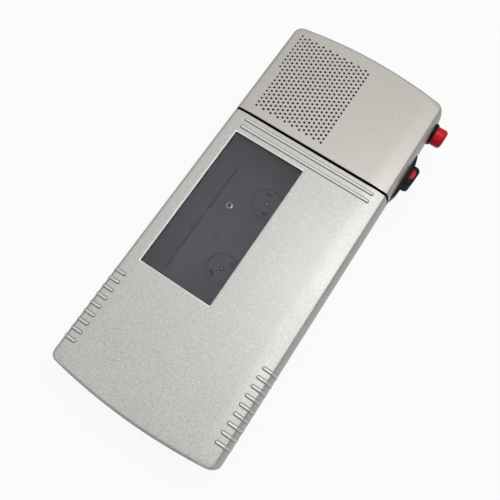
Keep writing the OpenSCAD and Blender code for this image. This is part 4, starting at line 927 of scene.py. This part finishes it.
def battery_door():
    """Sliding door: a plate that ends in the casing's own rounding, with tongues and finger grooves."""
    levels = distinct(edge_depths(door_edge, 3), np.linspace(door_side, door_t, 8))
    outline = lambda half, head, z: plan_ring(
        half, hinge_end(edge_in(z, back_r), gap_corner), (head, straight, gap_corner))
    inset = edge_in(levels, door_edge)
    door = stacked("door_plate", outline, levels, door_half - inset, door_head - inset, levels)
    guide = np.linspace(door_t - tongue_t, door_t, 4)
    work(door, "UNION", stacked(
        "door_tongues", lambda z: outline(door_half + tongue, door_head - tongue_in, z), guide, guide))
    bar = lambda half, g: [round_plate(0, y, groove_half + g, half, bar_round * half) for y in groove_y]
    work(door, "DIFFERENCE", flared_pit(
        "finger_grooves", lambda g: np.stack(bar(groove_w / 2 + g, g)), groove_deep, 0, groove_edge))
    finished(door, "battery_door", "silver_shell", "battery_door")


rear_shell()
battery_door()


# Deck fittings

def guide_stud():
    """Steel stud on the deck: an upright post with a flared foot and a flat face inside a polished ring.

    Across the ring the slope rises evenly from flat, so its height falls with the square of the distance."""
    (_, _, foot), (_, _, head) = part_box("guide_pin")
    foot_up, head_down, post_radii = [0, 0.1, 0.3], [0.5, 0.2], [1.3, 1.27, 1.26, 1.26, 1.25]
    dimple, dimple_r = in_mm(0.02, 0.1)
    u = np.linspace(1, 0, 9)
    levels = join(foot + np.array(foot_up) * mm, head - np.array(head_down) * mm,
                  head - stud_fall * u ** 2, [head - dimple])
    radii = join(np.array(post_radii) * mm, stud_face + stud_ring * u, [dimple_r])
    stud = upright("guide_stud", np.array([[stud_x, stud_y]]), levels, radii, 40)
    finished(stud, "casing", "steel", "guide_pin", crease=40)


def sense_pip():
    """Low pip that stands in the deck's sense hole: an upright post with a rounded top edge."""
    edge = edge_depths(pip_edge, 5)[::-1]
    levels = join([deck_top - pip_foot], deck_top + pip_high - edge)
    radii = join([pip_r], pip_r - edge_in(edge, pip_edge))
    pip = upright("sense_pip", np.array([[pip_x, pip_y]]), levels, radii, 32)
    finished(pip, "casing", "deck_plastic", crease=40)


sense_pip()
guide_stud()


# Side controls

def record_button():
    """Red button: stem, flange and a cap with a rounded edge and a shallow dish for the finger."""
    face, stem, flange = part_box("record_button")[1].x, side_in - stem_in, side_in - flange_in
    dish_depth, dish_r = in_mm(0.04, 0.14, 0.22, 0.25), in_mm(1.9, 1.3, 0.7, 0.15)
    depth = edge_depths(button_edge, 9)[::-1]
    top = flange + flange_t
    x = join([stem, flange, flange, top, top, face - button_edge - support], face - depth, face - dish_depth)
    edge_r = button_r - edge_in(depth, button_edge)
    r = join(np.repeat([button_stem_r, flange_r, button_r], 2), edge_r, dish_r)
    rings = circle(1, 56) * r[:, None, None] + [button_y, button_z]
    cap = solids("button_cap", lift(rings, x[:, None, None])[..., from_side])
    finished(cap, "record_button", "red_plastic", "record_button", crease=40)


def record_button_bezel():
    """Black ring round the button: a closed section that tapers outwards, turned about the button's axis."""
    (foot, _, _), (rim, _, _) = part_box("record_button_bezel")
    low, inside, outside = half_w, button_r + button_air, bezel_r - hair
    x = [foot, low, low + 0.12 * mm, rim - 0.12 * mm, rim, rim, rim - 0.15 * mm, foot]
    r = outside - in_mm(0, 0, 0.03, 0.28, 0.36)
    r = join(r, inside + in_mm(0.08, 0, 0))
    a = np.linspace(0, 2 * math.pi, 57)[:-1, None]
    ring = np.stack(np.broadcast_arrays(x, button_y + r * np.cos(a), button_z + r * np.sin(a)), axis=-1)
    finished(solids("button_ring", ring, loop=True), "casing", "black_plastic", "record_button_bezel")


def slide_track():
    """Black lens-shaped plate: a shallow arc over a chord, cut flat in the middle, slotted for the stem.

    The arc's radius is (half chord^2 + bulge^2) / (2 bulge); its front and back edges are rounded."""
    half, foot, thin = track_half - hair, half_w - track_sink, 0.1 * mm
    curve = (track_half ** 2 + track_bulge ** 2) / (2 * track_bulge)
    y = np.linspace(-half, half, 81)
    bow = half_w + np.minimum(track_bulge - curve + np.sqrt(curve ** 2 - y ** 2), track_flat)

    def outline(depth):
        x = np.maximum(bow - edge_in(depth, track_edge), foot + thin)
        bulge = np.stack([x, track_y + y], axis=-1)
        return join([[foot, track_y - half]], bulge, [[foot, track_y + half]])

    depth = edge_depths(track_edge, 5)
    reach = track_high - hair - depth
    levels = button_z + join(-reach, reach[::-1])
    plate = stacked("track_plate", outline, levels, join(depth, depth[::-1]))
    slot = flared_pit("stem_slot", knob_slot_ring, foot - past, half_w + 2 * past, 0, from_side)
    work(plate, "DIFFERENCE", slot)
    finished(plate, "casing", "black_plastic", "slide_track")


def knob_ring(inset):
    """Knob seen from the front: a round nose, a tangent that falls away to a round tail, and a straight foot.

    The tangent's direction comes from the difference of the two radii over the distance of their centres."""
    tail = np.array([knob_face - tail_r - tail_in, knob_y - knob_half + tail_r])
    nose = np.array([knob_face - nose_r, knob_y + knob_half - nose_r])
    top = np.array([knob_foot, knob_y + knob_half - inset])
    run, rise = nose - tail, top - nose
    lean = math.atan2(run[1], run[0]) - math.acos((tail_r - nose_r) / math.hypot(*run))
    stop = math.atan2(rise[1], rise[0]) - math.acos((nose_r - inset) / math.hypot(*rise))
    return join([[knob_foot, knob_y - knob_half + inset]], arc(*tail, tail_r - inset, -quarter, lean, 12),
                arc(*nose, nose_r - inset, lean, stop, 12), [top])


def inlay_ring(grow):
    """Half oval of the red mark, with its flat towards the knob's foot."""
    return arc(0, 0, inlay_r + grow, -quarter, quarter, 25) * [inlay_squash, 1] + [inlay_x, inlay_y]


def slide_knob():
    """Black thumb knob: its outline stacked with rounded edges, a stem, tail grooves and the mark's seat."""
    low, high, depth = knob_low.z, knob_high.z, edge_depths(knob_edge, 7)
    levels = join(
        low + depth, [low + knob_edge + support, high - knob_edge - support], high - depth[::-1])
    inset = edge_in(np.minimum(levels - low, high - levels), knob_edge)
    knob = stacked("knob_body", knob_ring, levels, inset)
    work(knob, "UNION", box_cut((knob_low.x, knob_y - stem_half, button_z - stem_high),
                                (knob_foot + knob_lap, knob_y + stem_half, button_z + stem_high)))
    across = knob_foot + groove_first + groove_step * np.arange(4)
    tail = np.maximum(across + groove_wide / 2 - (knob_face - tail_r - tail_in), 0)
    floor = knob_y - knob_half + tail_r - np.sqrt(tail_r ** 2 - tail ** 2) + groove_wide
    grooves = [box_cut((x, knob_y - knob_half - past, 0), (x + groove_wide, y, front))
               for x, y in zip(across, floor)]
    seat = prism("inlay_seat", inlay_ring(0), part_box("slide_knob_inlay")[0].z, front + past)
    work(knob, "DIFFERENCE", seat, *grooves)
    finished(knob, "slide_switch", "black_plastic", "slide_knob")


def slide_knob_inlay():
    """Red mark let into the knob, with a softly rounded top edge."""
    low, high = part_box("slide_knob_inlay")
    levels = join([low.z], high.z - edge_depths(inlay_edge, 4)[::-1])
    mark = stacked("inlay_mark", inlay_ring, levels, -hair - edge_in(high.z - levels, inlay_edge))
    finished(mark, "slide_switch", "red_plastic", "slide_knob_inlay")


record_button()
record_button_bezel()
slide_track()
slide_knob()
slide_knob_inlay()


# Camera and light

def pale_floor():
    """Wide pale card just under the machine: almost white to the camera, so that it keeps a faint shadow.

    It glows only for rays from the camera, through the pane and, by a share, in reflections."""
    half_side, glow_share, glossy_share = 3.0, 0.9, 0.5
    pale, paler, white = (0.62, 0.62, 0.62, 1), (0.66, 0.66, 0.66, 1), (0.95, 0.95, 0.95, 1)
    corners = np.array([[-1, -1], [1, -1], [1, 1], [-1, 1]]) * half_side
    ground = bpy.data.meshes.new("floor")
    ground.from_pydata(lift(corners, -hair).tolist(), [], [(0, 1, 2, 3)])
    floor = placed("floor", ground)
    tree, shader = new_finish("floor_card", Roughness=0.9)
    rays = put(tree, "ShaderNodeLightPath")
    card = noise(tree, 12.0, 2.0).blend(pale, paler)
    rays["Is Camera Ray"].blend(card, white).feed(shader["Base Color"])
    seen = rays["Is Camera Ray"].most(rays["Is Transmission Ray"]).most(rays["Is Glossy Ray"] * glossy_share)
    glow = put(tree, "ShaderNodeEmission", {"Color": (1, 1, 1, 1), "Strength": 1.0})[0]
    plain = Value(tree.nodes["Principled BSDF"].outputs[0])
    lit = put(tree, "ShaderNodeMixShader", {0: seen * glow_share, 1: plain, 2: glow})[0]
    lit.feed(tree.nodes["Material Output"].inputs["Surface"])
    ground.materials.append(finishes["floor_card"])


def surroundings():
    """White surroundings for the camera and through the pane; for light, a ceiling that fades to the sides.

    It is brightest overhead, towards the speaker end and on the left, and full only in reflections."""
    world = bpy.data.worlds.new("surroundings")
    bpy.context.scene.world = world
    world.use_nodes = True
    tree = world.node_tree
    rays = put(tree, "ShaderNodeLightPath")
    side, ahead, height = place(tree, "Generated")
    ceiling = height.spread(0.1, 1.0, 0.22, 0.84) * ahead.spread(0.7, 1.0, -0.45, 0.25)
    ceiling = ceiling * side.spread(1.6, 0.95, -0.6, 0.0) * rays["Is Glossy Ray"].switch(0.55, 1.0)
    back = tree.nodes["Background"].inputs
    back["Color"].default_value = (1, 1, 1, 1)
    rays["Is Camera Ray"].most(rays["Is Transmission Ray"]).most(ceiling).feed(back["Strength"])


def soft_lamp():
    """Soft round lamp high over the right side, turned to the machine."""
    lamp = bpy.data.lights.new("soft_lamp", "AREA")
    lamp.shape, lamp.size, lamp.energy = "DISK", 0.8, 5.8
    key = placed("soft_lamp", lamp)
    key.location = (0.31, 0.33, 1.24)
    key.rotation_mode = "QUATERNION"
    key.rotation_quaternion = key.location.to_track_quat("Z", "Y")


def photo_camera():
    """Camera at the photograph's viewing angle; its turn is in degrees about X, Y and Z."""
    stand, turn = (0.0281907, -0.0507824, 0.1894439), (16.271726, -0.349424, 33.511003)
    lens = bpy.data.cameras.new("camera")
    lens.lens, lens.sensor_width, lens.clip_start = 39.3276, 36.0, 0.01
    eye = placed("camera", lens)
    eye.matrix_world = Matrix.LocRotScale(stand, Euler([math.radians(angle) for angle in turn]), None)
    bpy.context.scene.camera = eye


pale_floor()
surroundings()
soft_lamp()
photo_camera()
bpy.context.scene.view_settings.view_transform = "Standard"
